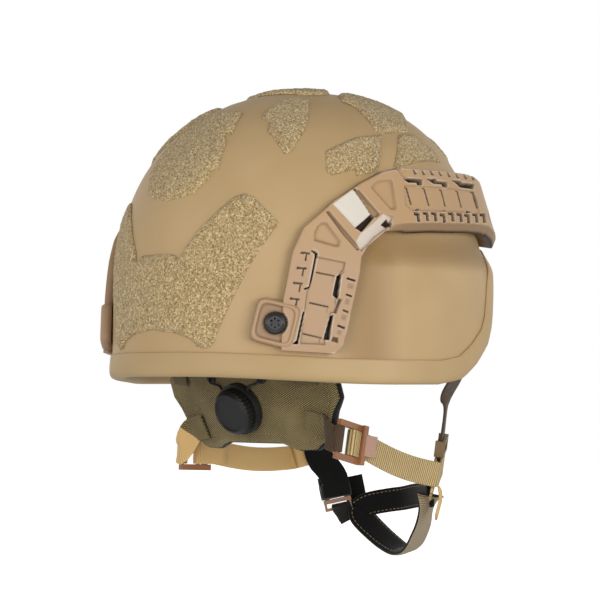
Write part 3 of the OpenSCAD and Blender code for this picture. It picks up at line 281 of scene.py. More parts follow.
class Wiring:
    """Adds and links the nodes of one tree."""

    def __init__(self, tree):
        self.t = tree

    def put(self, sock, v):
        if isinstance(v, bpy.types.NodeSocket):
            self.t.links.new(v, sock)
        else:
            sock.default_value = v

    def n(self, kind, *inputs, **kw):
        """Add a node, set its properties and inputs, and give its outputs."""
        x = self.t.nodes.new("ShaderNode" + kind)
        for k, v in kw.items():
            setattr(x, k, v)
        for k, v in inputs:
            self.put(x.inputs[k], v)
        return x.outputs

    def math(self, op, *args):
        return self.n("Math", *enumerate(args), operation=op)[0]

    def mul(self, a, b):
        return self.math("MULTIPLY", a, b)

    def add(self, a, b):
        return self.math("ADD", a, b)

    def noise(self, at, scale, detail=3.0, rough=.55):
        given = ("Vector", at), ("Scale", scale), ("Detail", detail), ("Roughness", rough)
        return self.n("TexNoise", *given)[0]

    def ramp(self, fac, *stops):
        out = self.n("ValToRGB", (0, fac))[0]
        e = out.node.color_ramp.elements
        while len(e) < len(stops):
            e.new(1.0)
        for i, (p, c) in enumerate(stops):
            e[i].position, e[i].color = p, c
        return out

    def fade(self, fac, lo, hi):
        return self.ramp(fac, (lo, BLACK), (hi, WHITE))

    def mix(self, f, a, b):
        return self.n("Mix", (0, f), (6, a), (7, b), data_type="RGBA")[2]

    def tint(self, c, fac, k, other):
        """Mix up to k of another colour in where fac is high."""
        return self.mix(self.mul(fac, k), c, col(other))

    def bump(self, h, strength, dist, *nrm):
        given = ("Strength", strength), ("Distance", dist), ("Height", h), *[("Normal", x) for x in nrm]
        return self.n("Bump", *given)[0]

    def bevel(self, radius):
        return self.n("Bevel", ("Radius", radius), samples=6)[0]

    def share(self, name):
        return self.n("Attribute", attribute_name=name)["Fac"]

    def obj(self):
        return self.n("TexCoord")["Object"]

    def uv(self):
        return self.n("SeparateXYZ", (0, self.n("UVMap", uv_map="mm")[0]))[:2]

    def camera_ray(self):
        return self.n("LightPath")["Is Camera Ray"]

    def uneven(self, rough, fac, k):
        return self.add(self.mul(fac, k), rough - k / 2)


class Look(Wiring):
    """One material."""

    def __init__(self, name):
        self.m = bpy.data.materials.new(name)
        self.m.use_nodes = True
        super().__init__(self.m.node_tree)
        self.b = self.t.nodes["Principled BSDF"]

    def out(self, color, rough, nrm, spec, sheen=None, coat=None):
        for key, v in (("Base Color", color), ("Roughness", rough), ("Normal", nrm),
                       ("Specular IOR Level", spec), ("Sheen Weight", sheen),
                       ("Sheen Roughness", sheen and .5), ("Coat Weight", coat)):
            if v is not None:
                self.put(self.b.inputs[key], v)
        return self.m


def paint(name, base, dark, rough, grain, crease=None):
    """Matt moulded or painted surface: fine grain, faint blotches."""
    g = Look(name)
    v = g.obj()
    big, fine = g.noise(v, 14, 2), g.noise(v, grain, 2, .6)
    c = g.mix(g.fade(big, .35, .7), col(dark), col(base))
    c = g.tint(c, fine, .12, dark)
    # painted shade: the crease colour mixed in by the shell's crease share, where its slope turns up and back
    if crease:
        c = g.mix(g.share("crease"), c, col(crease))
    return g.out(c, g.uneven(rough, big, .08), g.bump(fine, .35, .00012), .4)


def rail_plastic(name, base, low, dark, painted_highlight):
    """Moulded rail: warmer low down; painted shade, dark, in its slots and on its walls; painted highlight,
    near white, on the plate, the bridge and raised edges.
    """
    g = Look(name)
    v = g.obj()
    big, fine = g.noise(v, 14, 2), g.noise(v, 1100, 2, .6)
    c = g.mix(g.fade(g.n("SeparateXYZ", (0, v))[2], .06, .1), col(low), col(base))
    c = g.tint(c, big, .25, [x - 16 for x in base])
    c = g.tint(c, fine, .12, [x - 24 for x in base])
    # painted highlight, then painted shade, each by its share
    for share, colour in (("painted_highlight", painted_highlight), ("dark", dark)):
        c = g.mix(g.share(share), c, col(colour))
    return g.out(c, g.uneven(.48, big, .08), g.bump(fine, .3, .0001, g.bevel(.0004)), .4)


def pile(name, light, dark, gold):
    """Loop pile: speckled, woolly."""
    g = Look(name)
    v = g.obj()
    a, b, big = g.noise(v, 980, 3, .75), g.noise(v, 480, 2, .6), g.noise(v, 25, 2)
    loops = g.n("TexVoronoi", ("Vector", v), ("Scale", 620), feature="F1")["Distance"]
    c = g.ramp(a, (.36, col(dark)), (.49, col(light)), (.6, col(gold)))
    c = g.tint(c, g.ramp(b, (.42, WHITE), (.6, BLACK)), .45, dark)
    c = g.tint(c, big, .25, light)
    return g.out(c, .95, g.bump(g.add(a, g.mul(loops, -.7)), 1.0, .0012), .15, .25)


def weave(name, base, dark, light, pitch):
    """Coarse plain weave on the mm map, its yarns slanted."""
    g = Look(name)
    u, v = g.uv()
    k, slant = 2 * math.pi / pitch, .35
    a, b = g.add(u, g.mul(v, slant)), g.math("SUBTRACT", v, g.mul(u, slant))
    sa, sb = g.math("SINE", g.mul(a, k)), g.math("SINE", g.mul(b, k))
    h = g.math("MULTIPLY_ADD", g.mul(sa, sb), .5, .5)
    v3 = g.obj()
    yarn, big = g.noise(v3, 1500, 3, .6), g.noise(v3, 30, 3)
    c = g.ramp(h, (.08, col(dark)), (.45, col(base)), (.95, col(light)))
    c = g.tint(c, yarn, .35, dark)
    c = g.tint(c, g.fade(big, .4, .7), .25, light)
    return g.out(c, .85, g.bump(g.add(h, g.mul(yarn, .4)), .9, .0004), .2, .12)


def webbing(name, base, dark, light, pitch=1.35, strength=.9):
    """Woven webbing: ribs across the strap, fine warp lines, darker furrows."""
    g = Look(name)
    u, v = g.uv()
    rib, warp = [g.math("ABSOLUTE", g.math("SINE", g.mul(x, math.pi / p))) for x, p in ((u, pitch), (v, 1.1))]
    h = g.add(g.mul(rib, .86), g.mul(warp, .14))
    v3 = g.obj()
    yarn, big = g.noise(v3, 1200, 3, .6), g.noise(v3, 40, 2)
    c = g.ramp(h, (.1, col(dark)), (.5, col(base)), (.95, col(light)))
    c = g.tint(c, yarn, .3, dark)
    c = g.tint(c, big, .25, light)
    return g.out(c, .6, g.bump(g.add(h, g.mul(yarn, .25)), strength, .0005), .3, .1)


def cloth(name, base, dark, scale=1400, rough=.9):
    g = Look(name)
    v = g.obj()
    a, big = g.noise(v, scale, 3, .65), g.noise(v, 35, 2)
    c = g.tint(g.mix(a, col(dark), col(base)), big, .3, dark)
    return g.out(c, rough, g.bump(a, .6, .0004), .2, .2)


def hard(name, base, dark, rough, bevel=.0004, coat=0.0, metallic=0.0, spec=.5):
    """Moulded plastic or metal, its edges rounded in the shading."""
    g = Look(name)
    v = g.obj()
    big, fine = g.noise(v, 60, 3), g.noise(v, 900, 2)
    g.b.inputs["Metallic"].default_value = metallic
    nrm = g.bump(fine, .2, .0001, g.bevel(bevel))
    return g.out(g.mix(big, col(dark), col(base)), g.uneven(rough, big, .12), nrm, spec, coat=coat)


M = {
    # shell: the crease colour is painted shade on the ear dome's slope
    "shell": paint("shell_paint", (198, 168, 122), (188, 157, 110), .46, 1600, crease=(158, 126, 80)),
    "trim": paint("trim_rubber", (194, 165, 120), (184, 155, 109), .5, 1300),
    "pile": pile("pile", (218, 186, 128), (112, 84, 40), (255, 234, 186)),
    # rail: the last two colours are painted shade in slots and on walls, and painted highlight on the plate,
    # bridge and raised edges
    "rail": rail_plastic("rail_plastic", (196, 160, 118), (188, 155, 122), (46, 30, 14), (226, 217, 204)),
    "screw": hard("screw_black", (30, 29, 30), (16, 15, 16), .16, .0003, coat=.6, spec=.8),
    "nut": hard("nut_steel", (150, 150, 148), (120, 120, 118), .35, .0003, metallic=.9),
    "pad": cloth("pad_cloth", (44, 43, 41), (20, 20, 19)),
    "hook": cloth("hook_disc", (50, 50, 47), (26, 26, 24), 900),
    "lining": cloth("nape_lining_cloth", (38, 37, 34), (18, 18, 17)),
    "cover": weave("nape_weave", (100, 84, 50), (32, 25, 12), (196, 176, 122), 1.6),
    "black": hard("black_plastic", (34, 34, 34), (20, 20, 19), .5),
    "dial": hard("dial_rubber", (24, 24, 23), (13, 13, 12), .5, .0005),
    "spool": hard("spool_plastic", (58, 58, 56), (42, 42, 40), .45, .0003),
    "band": hard("headband_plastic", (36, 36, 34), (24, 24, 22), .45, .0003),
    "lace": cloth("lace_braid", (46, 36, 26), (18, 15, 11), 2500, .7),
    "strap": webbing("tan_webbing", (180, 146, 90), (40, 25, 8), (234, 206, 146), 1.9, 1.0),
    # far straps: finer, flatter ribs, and lighter than the tan webbing as painted light on straps that sit in
    # shade
    "strap_far": webbing("tan_webbing_smooth", (224, 180, 110), (176, 134, 72), (246, 208, 144), .9, .35),
    "strap_olive": webbing("olive_webbing", (92, 80, 50), (58, 50, 30), (120, 105, 70), .9, .5),
    "strap_black": webbing("black_webbing", (26, 24, 22), (12, 11, 10), (42, 40, 37), .9, .6),
    "strap_dark": webbing("brown_webbing", (66, 46, 28), (34, 24, 15), (96, 72, 46), .9, .5),
    "fitting": hard("fitting_plastic", (164, 108, 68), (138, 88, 52), .3, .0005, coat=.25),
    "slider": hard("slider_plastic", (140, 117, 80), (120, 98, 64), .4, .0005),
    "buckle": hard("buckle_plastic", (40, 38, 36), (24, 23, 22), .4, .0005),
    "cup": cloth("cup_cloth", (20, 20, 19), (7, 7, 7)),
    "cup_tan": webbing("cup_tan_webbing", (158, 138, 108), (104, 88, 62), (194, 176, 146)),
    "stitch": cloth("stitch_thread", (176, 156, 120), (130, 110, 78), 3000, .8),
}


# Shell and trim
def shell_piece():
    sta = stations(70, 1.0)
    down = np.concatenate([[.0004, .002, .006, .014, .028, .05], np.linspace(.08, .46, 15),
                           np.linspace(.48, .72, 18), np.linspace(.76, 1, 9)])

    def grid(share, g):
        a, f = np.meshgrid(sta, share, indexing="ij")
        top = CROWN + g
        return a, top - (top - rim_z(a)) * f
    outer, inner = grid(down, 0), grid(down[::-1], -SHELL_T)
    P = np.concatenate([on_shell(*outer), on_shell(*inner, -SHELL_T)], axis=1)
    o = solid("shell_outer", P.reshape(-1, 3), grid_faces(*P.shape[:2], close_u=True), mats=["shell"])
    # painted shade: a share for how far the ear dome's slope turns the surface up and back
    plain = normal_of(lambda a, z: polar(dome_r(a, z, 0), a, z), *outer)
    turn = np.clip((normal(*outer) - plain) @ vec(0, .85, .5) * 3.7, 0, 1)
    store(o, "crease", np.concatenate([turn, np.zeros_like(turn)], axis=1))
    place(o, "helmet_shell", "helmet")


# the trim in section: up from the rim, out from the shell
TRIM = np.array([
    (13.3, .1), (13.3, .75), (13, 1.15), (12.4, 1.4), (11.4, 1.5), (9, 1.75), (6.5, 1.95), (4, 2.05),
    (1.8, 1.95), (0, 1.55), (-1.3, .6), (-2.1, -.9), (-2.4, -3), (-2.4, -5.5), (-2.1, -7.4),
    (-1.2, -8.9), (.4, -9.7), (3, -9.8), (7.2, -9.6), (8, -9.2), (8, -8.1), (6, -8.05), (0, -8.05),
    (-.2, -7.6), (-.2, -.4), (0, .05), (6, .08)])


def trim_piece():
    sta = stations(68, .75)
    rim = lambda a: on_shell(a, rim_z(a))
    along = unit(rim(sta + 1.2) - rim(sta - 1.2))
    up = unit(np.cross(along, square_to(normal(sta, rim_z(sta)), along)))
    q = rim(sta)[:, None] + up[:, None] * TRIM[:, :1]
    rings = on_shell(np.degrees(np.arctan2(-q[..., 0], -q[..., 1])), q[..., 2], TRIM[:, 1])
    place(sweep("trim_band", rings, close=True, mats=["trim"]), "edge_trim", "helmet")


# Pile patches: flat outlines, cast on the shell along the direction that they face
def cast(p, d, g, lo, hi):
    """How far along d each point meets the dome, g out from its face."""
    lo, hi = np.full(p.shape[:-1], float(lo)), np.full(p.shape[:-1], float(hi))
    for _ in range(22):
        m = (lo + hi) / 2
        q = p + d * m[..., None]
        a = np.degrees(np.arctan2(-q[..., 0], -q[..., 1]))
        inside = (q[..., 2] < CROWN + g) & (np.hypot(q[..., 0], q[..., 1]) < dome_r(a, q[..., 2], g))
        lo, hi = np.where(inside, m, lo), np.where(inside, hi, m)
    return (lo + hi) / 2


def seat(a, e):
    """Middle of a patch that faces angle a and elevation e, and its right, up and outward axes."""
    n = vec(-sind(a) * cosd(e), -cosd(a) * cosd(e), sind(e))
    o = vec(0, 0, 60)
    r = unit(np.cross([0, 0, 1], n))
    return o + n * cast(o, n, 0, 0, 260), r, np.cross(n, r), n


def both(h):
    return h + [[-x, y] for x, y in h[::-1] if x != 0]


REAR = both([[0, -7], [15, -7], [21, -11], [23, -5], [36, 14], [50, 32], [55, 35], [60, 33], [76, 18],
             [46, -62], [42, -66], [36, -65], [33, -61], [19, -57], [8, -56], [0, -55]])
REAR_TOP = both([[0, 30], [17, 29], [27, 4], [22, 1], [27, -3], [33, -26], [27, -28], [29, -33], [22, -44],
                 [12, -48], [0, -50]])
CROWN_PATCH = both([[0, 39], [10, 29], [22, 17], [30, 9], [34, 2], [33, -10], [26, -15], [12, -18], [0, -20]])
ARROW = [[-22, 8], [-17, 6], [-26, -16], [-29, -24], [-34, -32], [-47, -46], [-52, -46],
         [-56, -24], [-52, -16], [-54, -8], [-50, -1], [-39, 6], [-31, 9]]
FRONT_TOP = both([[0, 2], [20, 20], [37, 44], [51, 52], [58, 48], [84, 46], [85, 42], [82, 17], [77, 11],
                  [50, -6], [30, -10], [0, -14]])
SIDE_REAR = [[-64, -1], [-40, 2], [-18, 1], [-35, -23], [-40, -25], [-53, -25], [-52, -20],
             [-68, -18], [-70, -14]]
SIDE_FRONT = [[-38, 7], [-26, 6], [-17, -3], [-13, -12], [-9, -20], [-64, -11]]
FRONT = both([[0, 38], [30, 36], [56, 30], [64, 18], [58, 4], [42, -4], [28, -16], [0, -19]])
CORNER, EDGE_STEP, PILE_STEP = 1.6, 1.6, 1.9


def inside_by(outline, u, v):
    """Distance inside an outline; negative outside."""
    best, inside = np.full(u.shape, 1e9), np.zeros(u.shape, bool)
    for (x0, y0), (x1, y1) in zip(outline, np.roll(outline, -1, 0)):
        ex, ey = x1 - x0, y1 - y0
        t = np.clip(((u - x0) * ex + (v - y0) * ey) / (ex * ex + ey * ey + 1e-9), 0, 1)
        best = np.minimum(best, np.hypot(u - x0 - ex * t, v - y0 - ey * t))
        inside ^= ((y0 > v) != (y1 > v)) & (u < ex * (v - y0) / (ey if abs(ey) > 1e-9 else 1e-9) + x0)
    return np.where(inside, best, -best)


def patch_piece(name, a, e, outline, left=False):
    out = np.array(outline, float)
    # rounded corners: each corner becomes a short curve
    pts = []
    for i, q in enumerate(out):
        p, r = out[i - 1], out[(i + 1) % len(out)]
        cut = min(CORNER, .4 * np.linalg.norm(q - p), .4 * np.linalg.norm(r - q))
        s, t = q + unit(p - q) * cut, q + unit(r - q) * cut
        pts += [s, .25 * s + .5 * q + .25 * t, t]
    # ragged edge, and a jittered grid inside it
    B = []
    for p, q in zip(pts, pts[1:] + pts[:1]):
        k = max(1, int(np.linalg.norm(q - p) / EDGE_STEP))
        B += [p + (q - p) * j / k for j in range(k)]
    B = np.array(B) + rng.normal(0, .16, (len(B), 2))
    lo, hi = B.min(0), B.max(0)
    gx, gy = np.meshgrid(np.arange(lo[0], hi[0], PILE_STEP), np.arange(lo[1], hi[1], PILE_STEP * .87))
    gx = gx + (np.arange(gx.shape[0])[:, None] % 2) * PILE_STEP / 2
    C = np.stack([gx.ravel(), gy.ravel()], -1)
    C = C + rng.normal(0, .2, C.shape)
    C = C[inside_by(B, *C.T) > .9]
    nb = len(B)
    edges, rim = [(i, (i + 1) % nb) for i in range(nb)], [list(range(nb))]
    flat, _, tris, *_ = delaunay_2d_cdt([Vector(p) for p in (*B, *C)], edges, rim, 1, 1e-6)
    V = np.array([tuple(v) for v in flat])
    inset = np.maximum(inside_by(B, *V.T), 0)
    # cast on the shell: a flat underside, and loops that stand up from it
    o, r, u, n = seat(a, e)
    q = o + V[:, :1] * r + V[:, 1:2] * u - n * 70
    away = np.broadcast_to(n, q.shape)
    tall = 2.0 * (1 - np.exp(-inset / .9)) + .35 + rng.normal(0, .22, len(V)) * (inset > .8) + .25
    base, up = [q + away * cast(q, away, g, 0, 100)[:, None] for g in (.12, 2.4)]
    top = base + unit(up - base) * tall[:, None]
    faces, nv = [tuple(f) for f in tris], len(V)
    sides = {(f[i], f[(i + 1) % 3]): 1 for f in tris for i in range(3)}
    faces += [(j, i, i + nv, j + nv) for i, j in sides if (j, i) not in sides]
    ob = solid("pile_" + name, flip_x(np.concatenate([top, base]), left), faces, mats=["pile"])
    place(ob, "patch_" + name, "helmet")


# Liner pads: radius of the round one, or else angle, height, half angle and half height
PADS = {"pad_crown": [[52]], "pad_front": [[0, 116, 25, 25]], "pad_rear": [[180, 62, 21, 29]],
        "pads_side_right": [[70, 104, 15, 24], [112, 78, 16, 30]]}
PAD_N, PAD_T, PAD_SIDES = 2.18, 19.0, 64


def pad_point(p, rho, phi, d):
    """Point of a pad at share rho of its size, turned by phi, d in from the shell's inner face."""
    if len(p) == 1:
        r, a = p[0] * rho, np.degrees(phi)
        k = np.clip(1 - (r / plan_r(a, -SHELL_T - d)) ** out_power(a), 0, 1)
        return polar(r, a, (CROWN - SHELL_T - d) * k ** (1 / UP_POWER))
    round_off = lambda v: np.sign(v) * np.abs(v) ** .75
    return on_shell(p[0] + p[2] * rho * round_off(np.cos(phi)), p[1] + p[3] * rho * round_off(np.sin(phi)),
                    -SHELL_T - d)


def pad_piece(node, left=False):
    pads = PADS[node.replace("_left", "_right")]
    phi = np.linspace(0, 2 * np.pi, PAD_SIDES, endpoint=False)
    for i, p in enumerate(pads):
        rings = []
        for r in (.02, .15, .3, .45, .6, .72, .82, .89, .94, .975, .995, 1.0):
            quilt = .03 * np.sin(9 * r) * np.cos(4 * phi) * (r < .95)
            rings.append((r, PAD_N + PAD_T * (1 - .1 * r * r - .55 * r ** 12 + quilt)))
        rings += [(1.005, PAD_N + PAD_T * .2)] + [(r, PAD_N + .1) for r in (.99, .9, .5, .02)]
        rings = [flip_x(pad_point(p, r * np.ones(PAD_SIDES), phi, d), left) for r, d in rings]
        o = sweep("%s_%d" % (node, i) if len(pads) > 1 else node + "_pad", rings, mats=["pad"])
        place(o, node, "helmet")


# Nape pad: half width, depth and bow of its face, the dial's height, and its lower and upper edges
NX, NBACK, NBOW, DZ = 79.0, 51.0, 11.0, -22.5
LEAN = 20
TL = math.tan(LEAN * DEG)
FOOT = np.array([[0, -46], [26, -46], [38, -50.5], [52, -50], [64, -42.5], [71, -26], [79, -16]])
HEAD = np.array([[0, 14], [56, 12], [68, 3], [79, -5]])
COVER_OFF, SEAM = 2.7, 6


def edge_z(x, tab):
    xs = np.linspace(-90, 90, 721)
    return np.interp(x, xs, blurred(np.interp(np.abs(xs), tab[:, 0], tab[:, 1]), 8))


def nape_point(x, z, off):
    x, z, off = floats(x, z, off)
    return np.stack([x, NBACK - NBOW * (x / NX) ** 2 + TL * (z - DZ) + off, z], -1)


def nape_pieces():
    nx, nz = 97, 41
    xs = NX * np.sin(np.linspace(-1, 1, nx) * np.pi / 2 * .92) / math.sin(np.pi / 2 * .92)
    v = np.linspace(0, 1, nz)
    v = .6 * v + .4 * (.5 - .5 * np.cos(v * np.pi))

    def field(grow):
        """Grid over the pad, grown at its edge, and the distance to the nearest edge."""
        k = np.abs(xs) * (1 - grow / NX)
        lo, hi = edge_z(k, FOOT) - grow, edge_z(k, HEAD) + grow
        X, V = np.meshgrid(xs * (1 + grow / NX), v, indexing="ij")
        Z = lo[:, None] + (hi - lo)[:, None] * V
        return X, Z, np.minimum(np.minimum(Z - lo[:, None], hi[:, None] - Z), NX + grow - np.abs(X))
    far = nx * nz
    rim = [i * nz for i in range(nx)] + [(nx - 1) * nz + j for j in range(1, nz)]
    rim += [i * nz + nz - 1 for i in range(nx - 2, -1, -1)] + list(range(nz - 2, 0, -1))
    faces = grid_faces(nx, nz) + [f[::-1] for f in grid_faces(nx, nz, off=far)]
    faces += [(a, a + far, b + far, b) for a, b in zip(rim, rim[1:] + rim[:1])]

    def layer(name, X, Z, outer, inner, stretch, look, node):
        P = np.concatenate([nape_point(X, Z, d).reshape(-1, 3) for d in (outer, inner)])
        uv = np.stack([(X * stretch).ravel(), Z.ravel()], -1)
        o = solid(name, P, faces, np.concatenate([uv, uv]), mats=[look])
        place(o, node, "nape")
    # cover: outer face with soft creases, drawn in at the seam and the rim, flat under the dial
    X, Z, edge = field(0.0)
    crease = .35 * np.sin(X * .11 + 1.3 * np.sin(Z * .07)) * sm(4, 14, edge) + .25 * np.sin((X + Z) * .23)
    flat = sm(17, 28, np.hypot(X, (Z - DZ) / cosd(LEAN)))
    off = COVER_OFF - .15 + (crease - .2) * flat * sm(1, 8, edge)
    off = off - .45 * np.exp(-((edge - SEAM) / .9) ** 2) - .9 * (1 - sm(0, 2.2, edge))
    layer("nape_cover_cloth", X, Z, off, .3, 1.06, "cover", "nape_cover")
    # its seam
    x = xs[np.abs(xs) < NX - SEAM]
    xe = NX - SEAM - .2
    foot, head = float(edge_z(xe, FOOT)) + 7.5, float(edge_z(xe, HEAD)) - 7
    path = [(q, z + SEAM) for q, z in zip(x, edge_z(x, FOOT))] + [(xe, z) for z in np.linspace(foot, head, 4)]
    path += [(q, z - SEAM) for q, z in zip(x[::-1], edge_z(x[::-1], HEAD))]
    path += [(-xe, z) for z in np.linspace(head, foot, 4)]
    path = nape_point(*np.array(path + path[:1]).T, COVER_OFF - .42)
    stitches("nape_stitches", path, lambda c: vec(0, .94, -.34), "nape")
    # lining
    X, Z, _ = field(.5)
    side, rise = np.abs(X) / (NX + .5), np.abs(np.broadcast_to(v, X.shape) * 2 - 1)
    t = 9 * (1 - .6 * side ** 8) * (1 - .6 * rise ** 8) + .35 * np.sin(X * .2) * np.cos(Z * .17)
    layer("nape_lining_pad", X, Z, -.05, -t, 1, "lining", "nape_lining")


def stitches(name, path, up_at, body, r=.28, length=2.2, gap=1.1):
    """Short thread runs along a path; each is a small capsule lying on the cloth."""
    s = run_of(path)
    verts, faces = [], []
    at = 0.0
    while at + length < s[-1]:
        ts = np.linspace(at, at + length, 4)
        q = np.stack([np.interp(ts, s, path[:, k]) for k in range(3)], -1)
        d = unit(q[-1] - q[0])
        side = unit(np.cross(d, up_at(q[1])))
        up = np.cross(side, d)
        base = len(verts)
        for c, wide, lift in zip(q, (.45, 1, 1, .45), (.2, .6, .6, .2)):
            for t in range(0, 360, 60):
                verts.append(c + up * (r * lift) + r * wide * (side * cosd(t) + up * sind(t)))
        faces += grid_faces(4, 6, close_v=True, off=base) + cap_faces(4, 6, base)
        at += length + gap
    place(solid(name, verts, faces, mats=["stitch"]), None, body)


# Straps, as in the CAD: a row is a point and the direction across the webbing there
SEATS = [(142.0, 31.0), (46.0, 104.0)]
REAR_SCREW, FRONT_SCREW = SEATS
WEB_W, WEB_T, GAP = 17.0, 1.6, .35
DRAWN, STILL = vec(5, -5, 8), vec(0, 0, 0)
CHIN_W, CHEEK_W = vec(-.6, .8, 0), vec(-.3, .95, 0)
SLIDER, STRAP_END = vec(-67, -69, -49), vec(-60, -72, -75)
DOWN = unit(STRAP_END - SLIDER)
SX = square_to(CHIN_W, DOWN)
SZ = np.cross(SX, DOWN)
LOOP = SLIDER + DOWN * 15.2
LOCK_L, BAR_R = 26.0, 1.5
WRAP = BAR_R + GAP + WEB_T / 2
BAR_Y, MID_Y = LOCK_L / 2 - BAR_R, 2.5
BUCKLE = vec(48.5, -83, -79.4)
BY = unit(np.cross(CHIN_W, BUCKLE + vec(-3, -2, -12) - STRAP_END))
BX = square_to(vec(.6, .8, 0), BY)
BZ = np.cross(BX, BY)
FX, FY, FZ = flip_x(BX), flip_x(BY), flip_x(BZ)
SOCKET_BAR = flip_x(BUCKLE + BY * (-3 - BAR_R))
SOCKET_L, SOCKET_T, SOCKET_W = 10.0, 7.0, WEB_W + 2 * (GAP + 2)
SEWN_N = COVER_OFF + .3 + WEB_T / 2


def in_buckle(x, y, z):
    return BUCKLE + BX * x + BY * y + BZ * z


class Lock:
    """Frame of one ladderlock, written on the right side."""

    def __init__(self, at, shift):
        self.at = at
        self.y = unit(LOOP + shift + SX * 10 - at)
        self.up = square_to(vec(0, 0, 1), self.y)
        self.z = -np.cross(self.up, self.y)

    def out(self, y, z):
        return self.at + self.y * y + self.z * z


LOCKS = {False: Lock(vec(-78.8, 34, -44.5), STILL), True: Lock(vec(-72, 30.5, -54), DRAWN)}


def tab_point(s):
    return on_shell(*s) - normal(*s) * (SHELL_T + 1.0 + WEB_T / 2)


def tab_wide(s):
    return unit(np.cross([0, 0, 1], normal(*s)))


def tab_low(s, d):
    return tab_point(s) - np.cross(normal(*s), tab_wide(s)) * d


def turned(c, d, side, r):
    """Points round a bar, from one side of it to the other."""
    return [c + d * r * cosd(t) + side * r * sind(t) for t in range(90, -91, -15)]


def rows_of(points, wide):
    return [(p, wide) for p in points]


def strap(name, rows, node, body, left=False, w=WEB_W, t=WEB_T, steps=8, mat=("strap",), face_mat=None,
          blend=None, outline=STRAP, slot="webbing", fill=None):
    """A smoothed strap. face_mat gives a face's material from its ring and the points of its section."""
    p, x, n = strap_axes([(flip_x(p, left), flip_x(wide, left)) for p, wide in rows], steps)
    half = outline * (w / 2, t / 2)
    rings = p[:, None] + x[:, None] * half[:, :1] + n[:, None] * half[:, 1:]
    m = len(outline)
    uv = np.stack(np.broadcast_arrays(run_of(p)[:, None], half[:, 0]), -1)
    o = sweep(name, rings, uv, mats=mat)
    if face_mat:
        pick = [face_mat(min(f.vertices) // m, [v % m for v in f.vertices]) if len(f.vertices) == 4 else 0
                for f in o.data.polygons]
        o.data.polygons.foreach_set("material_index", np.asarray(pick, dtype=np.int32))
    place(o, node, None if blend else body)
    if blend:
        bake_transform(o)


def tab_disc(name, s, node, left):
    """Round sewn end of a strap, held under the post nut's flange."""
    n, c = normal(*s), tab_point(s)
    x = unit(np.cross([0, 0, 1], n))
    y = np.cross(n, x)
    ph = np.linspace(0, 2 * np.pi, 48, endpoint=False)
    ring = x * np.cos(ph)[:, None] + y * np.sin(ph)[:, None]
    edge = np.array([(4.3, -.78), (9.2, -.78), (9.5, -.5), (9.5, .5), (9.2, .78), (4.3, .78)])
    rings = np.array([flip_x(c + r * ring + n * dz, left) for r, dz in edge])
    uv = np.stack([np.tile(ph * 9, 6), np.repeat([4, 9, 9.5, 9.5, 9, 4], 48)], -1)
    faces = grid_faces(6, 48, close_u=True, close_v=True)
    o = solid(name, rings.reshape(-1, 3), faces, uv, mats=["strap_dark"])
    place(o, node, "helmet")


def edge_stitches(name, rows, w, t, face=1, inset=2.0):
    """Runs of thread along both edges of one face of a strap."""
    p, x, n = strap_axes(rows, 8)
    n = n * face
    for end, k in (("_a", -1), ("_b", 1)):
        q = p + x * (k * (w / 2 - inset)) + n * (t / 2)
        stitches(name + end, q, lambda c: n[np.argmin(np.linalg.norm(q - c, axis=1))], "chin", r=.3)


def front_rows(shift):
    return rows_of([tab_point(FRONT_SCREW), tab_low(FRONT_SCREW, 11)], -tab_wide(FRONT_SCREW)) \
        + [(vec(34 - HALF_W, -72, 78), vec(-.62, .78, 0)), (vec(26 - HALF_W, -63, 40), CHEEK_W),
           (vec(27 - HALF_W, -60, 6) + shift * .3, CHEEK_W), (SLIDER - DOWN * 36 + shift, CHEEK_W)] \
        + rows_of([SLIDER - DOWN * d + shift for d in (26, 9, 0)], CHIN_W)


def front_straps():
    """Brown above, black below the cheek; the left one goes round the buckle's bar."""
    black_from = lambda ring: lambda i, js: 0 if i < ring else 1
    rows = front_rows(STILL) + rows_of([STRAP_END - DOWN * 6, STRAP_END], CHIN_W)
    strap("front_strap_right_web", rows, "front_strap_right", "helmet", mat=("strap_dark", "strap_black"),
          face_mat=black_from(9 * 8))
    rows = front_rows(DRAWN) + rows_of([SLIDER + DRAWN + DOWN * d for d in (16, 24.5)], CHIN_W)
    rows += rows_of([SOCKET_BAR + FZ * 2 - FY * 3, *turned(SOCKET_BAR, FY, FZ, WRAP),
                     SOCKET_BAR - FZ * 1.7 - FY * 2.5], -FX)
    strap("front_strap_left_web", rows, "front_strap_left", "helmet", left=True, steps=5,
          mat=("strap_dark", "strap_black"), face_mat=black_from(7 * 5))
    tab_disc("front_tab_right", FRONT_SCREW, "front_strap_right", False)
    tab_disc("front_tab_left", FRONT_SCREW, "front_strap_left", True)
    # padded flap between the buckle and the cheek
    flap_n = SOCKET_T / 2 + 1.2
    flap = rows_of([LOOP + DRAWN + DOWN * d - SZ * 4.4 for d in (-5, 6)], SX)
    flap += rows_of([SOCKET_BAR + FZ * (flap_n + .9) - FY,
                     flip_x(in_buckle(0, SOCKET_L - 1, flap_n + .4))], FX)
    strap("buckle_flap_pad", flap, "buckle_flap", "helmet", left=True, w=SOCKET_W - 2, t=2.4, mat=("cup",),
          outline=PADDED, slot="cup", fill=.6)


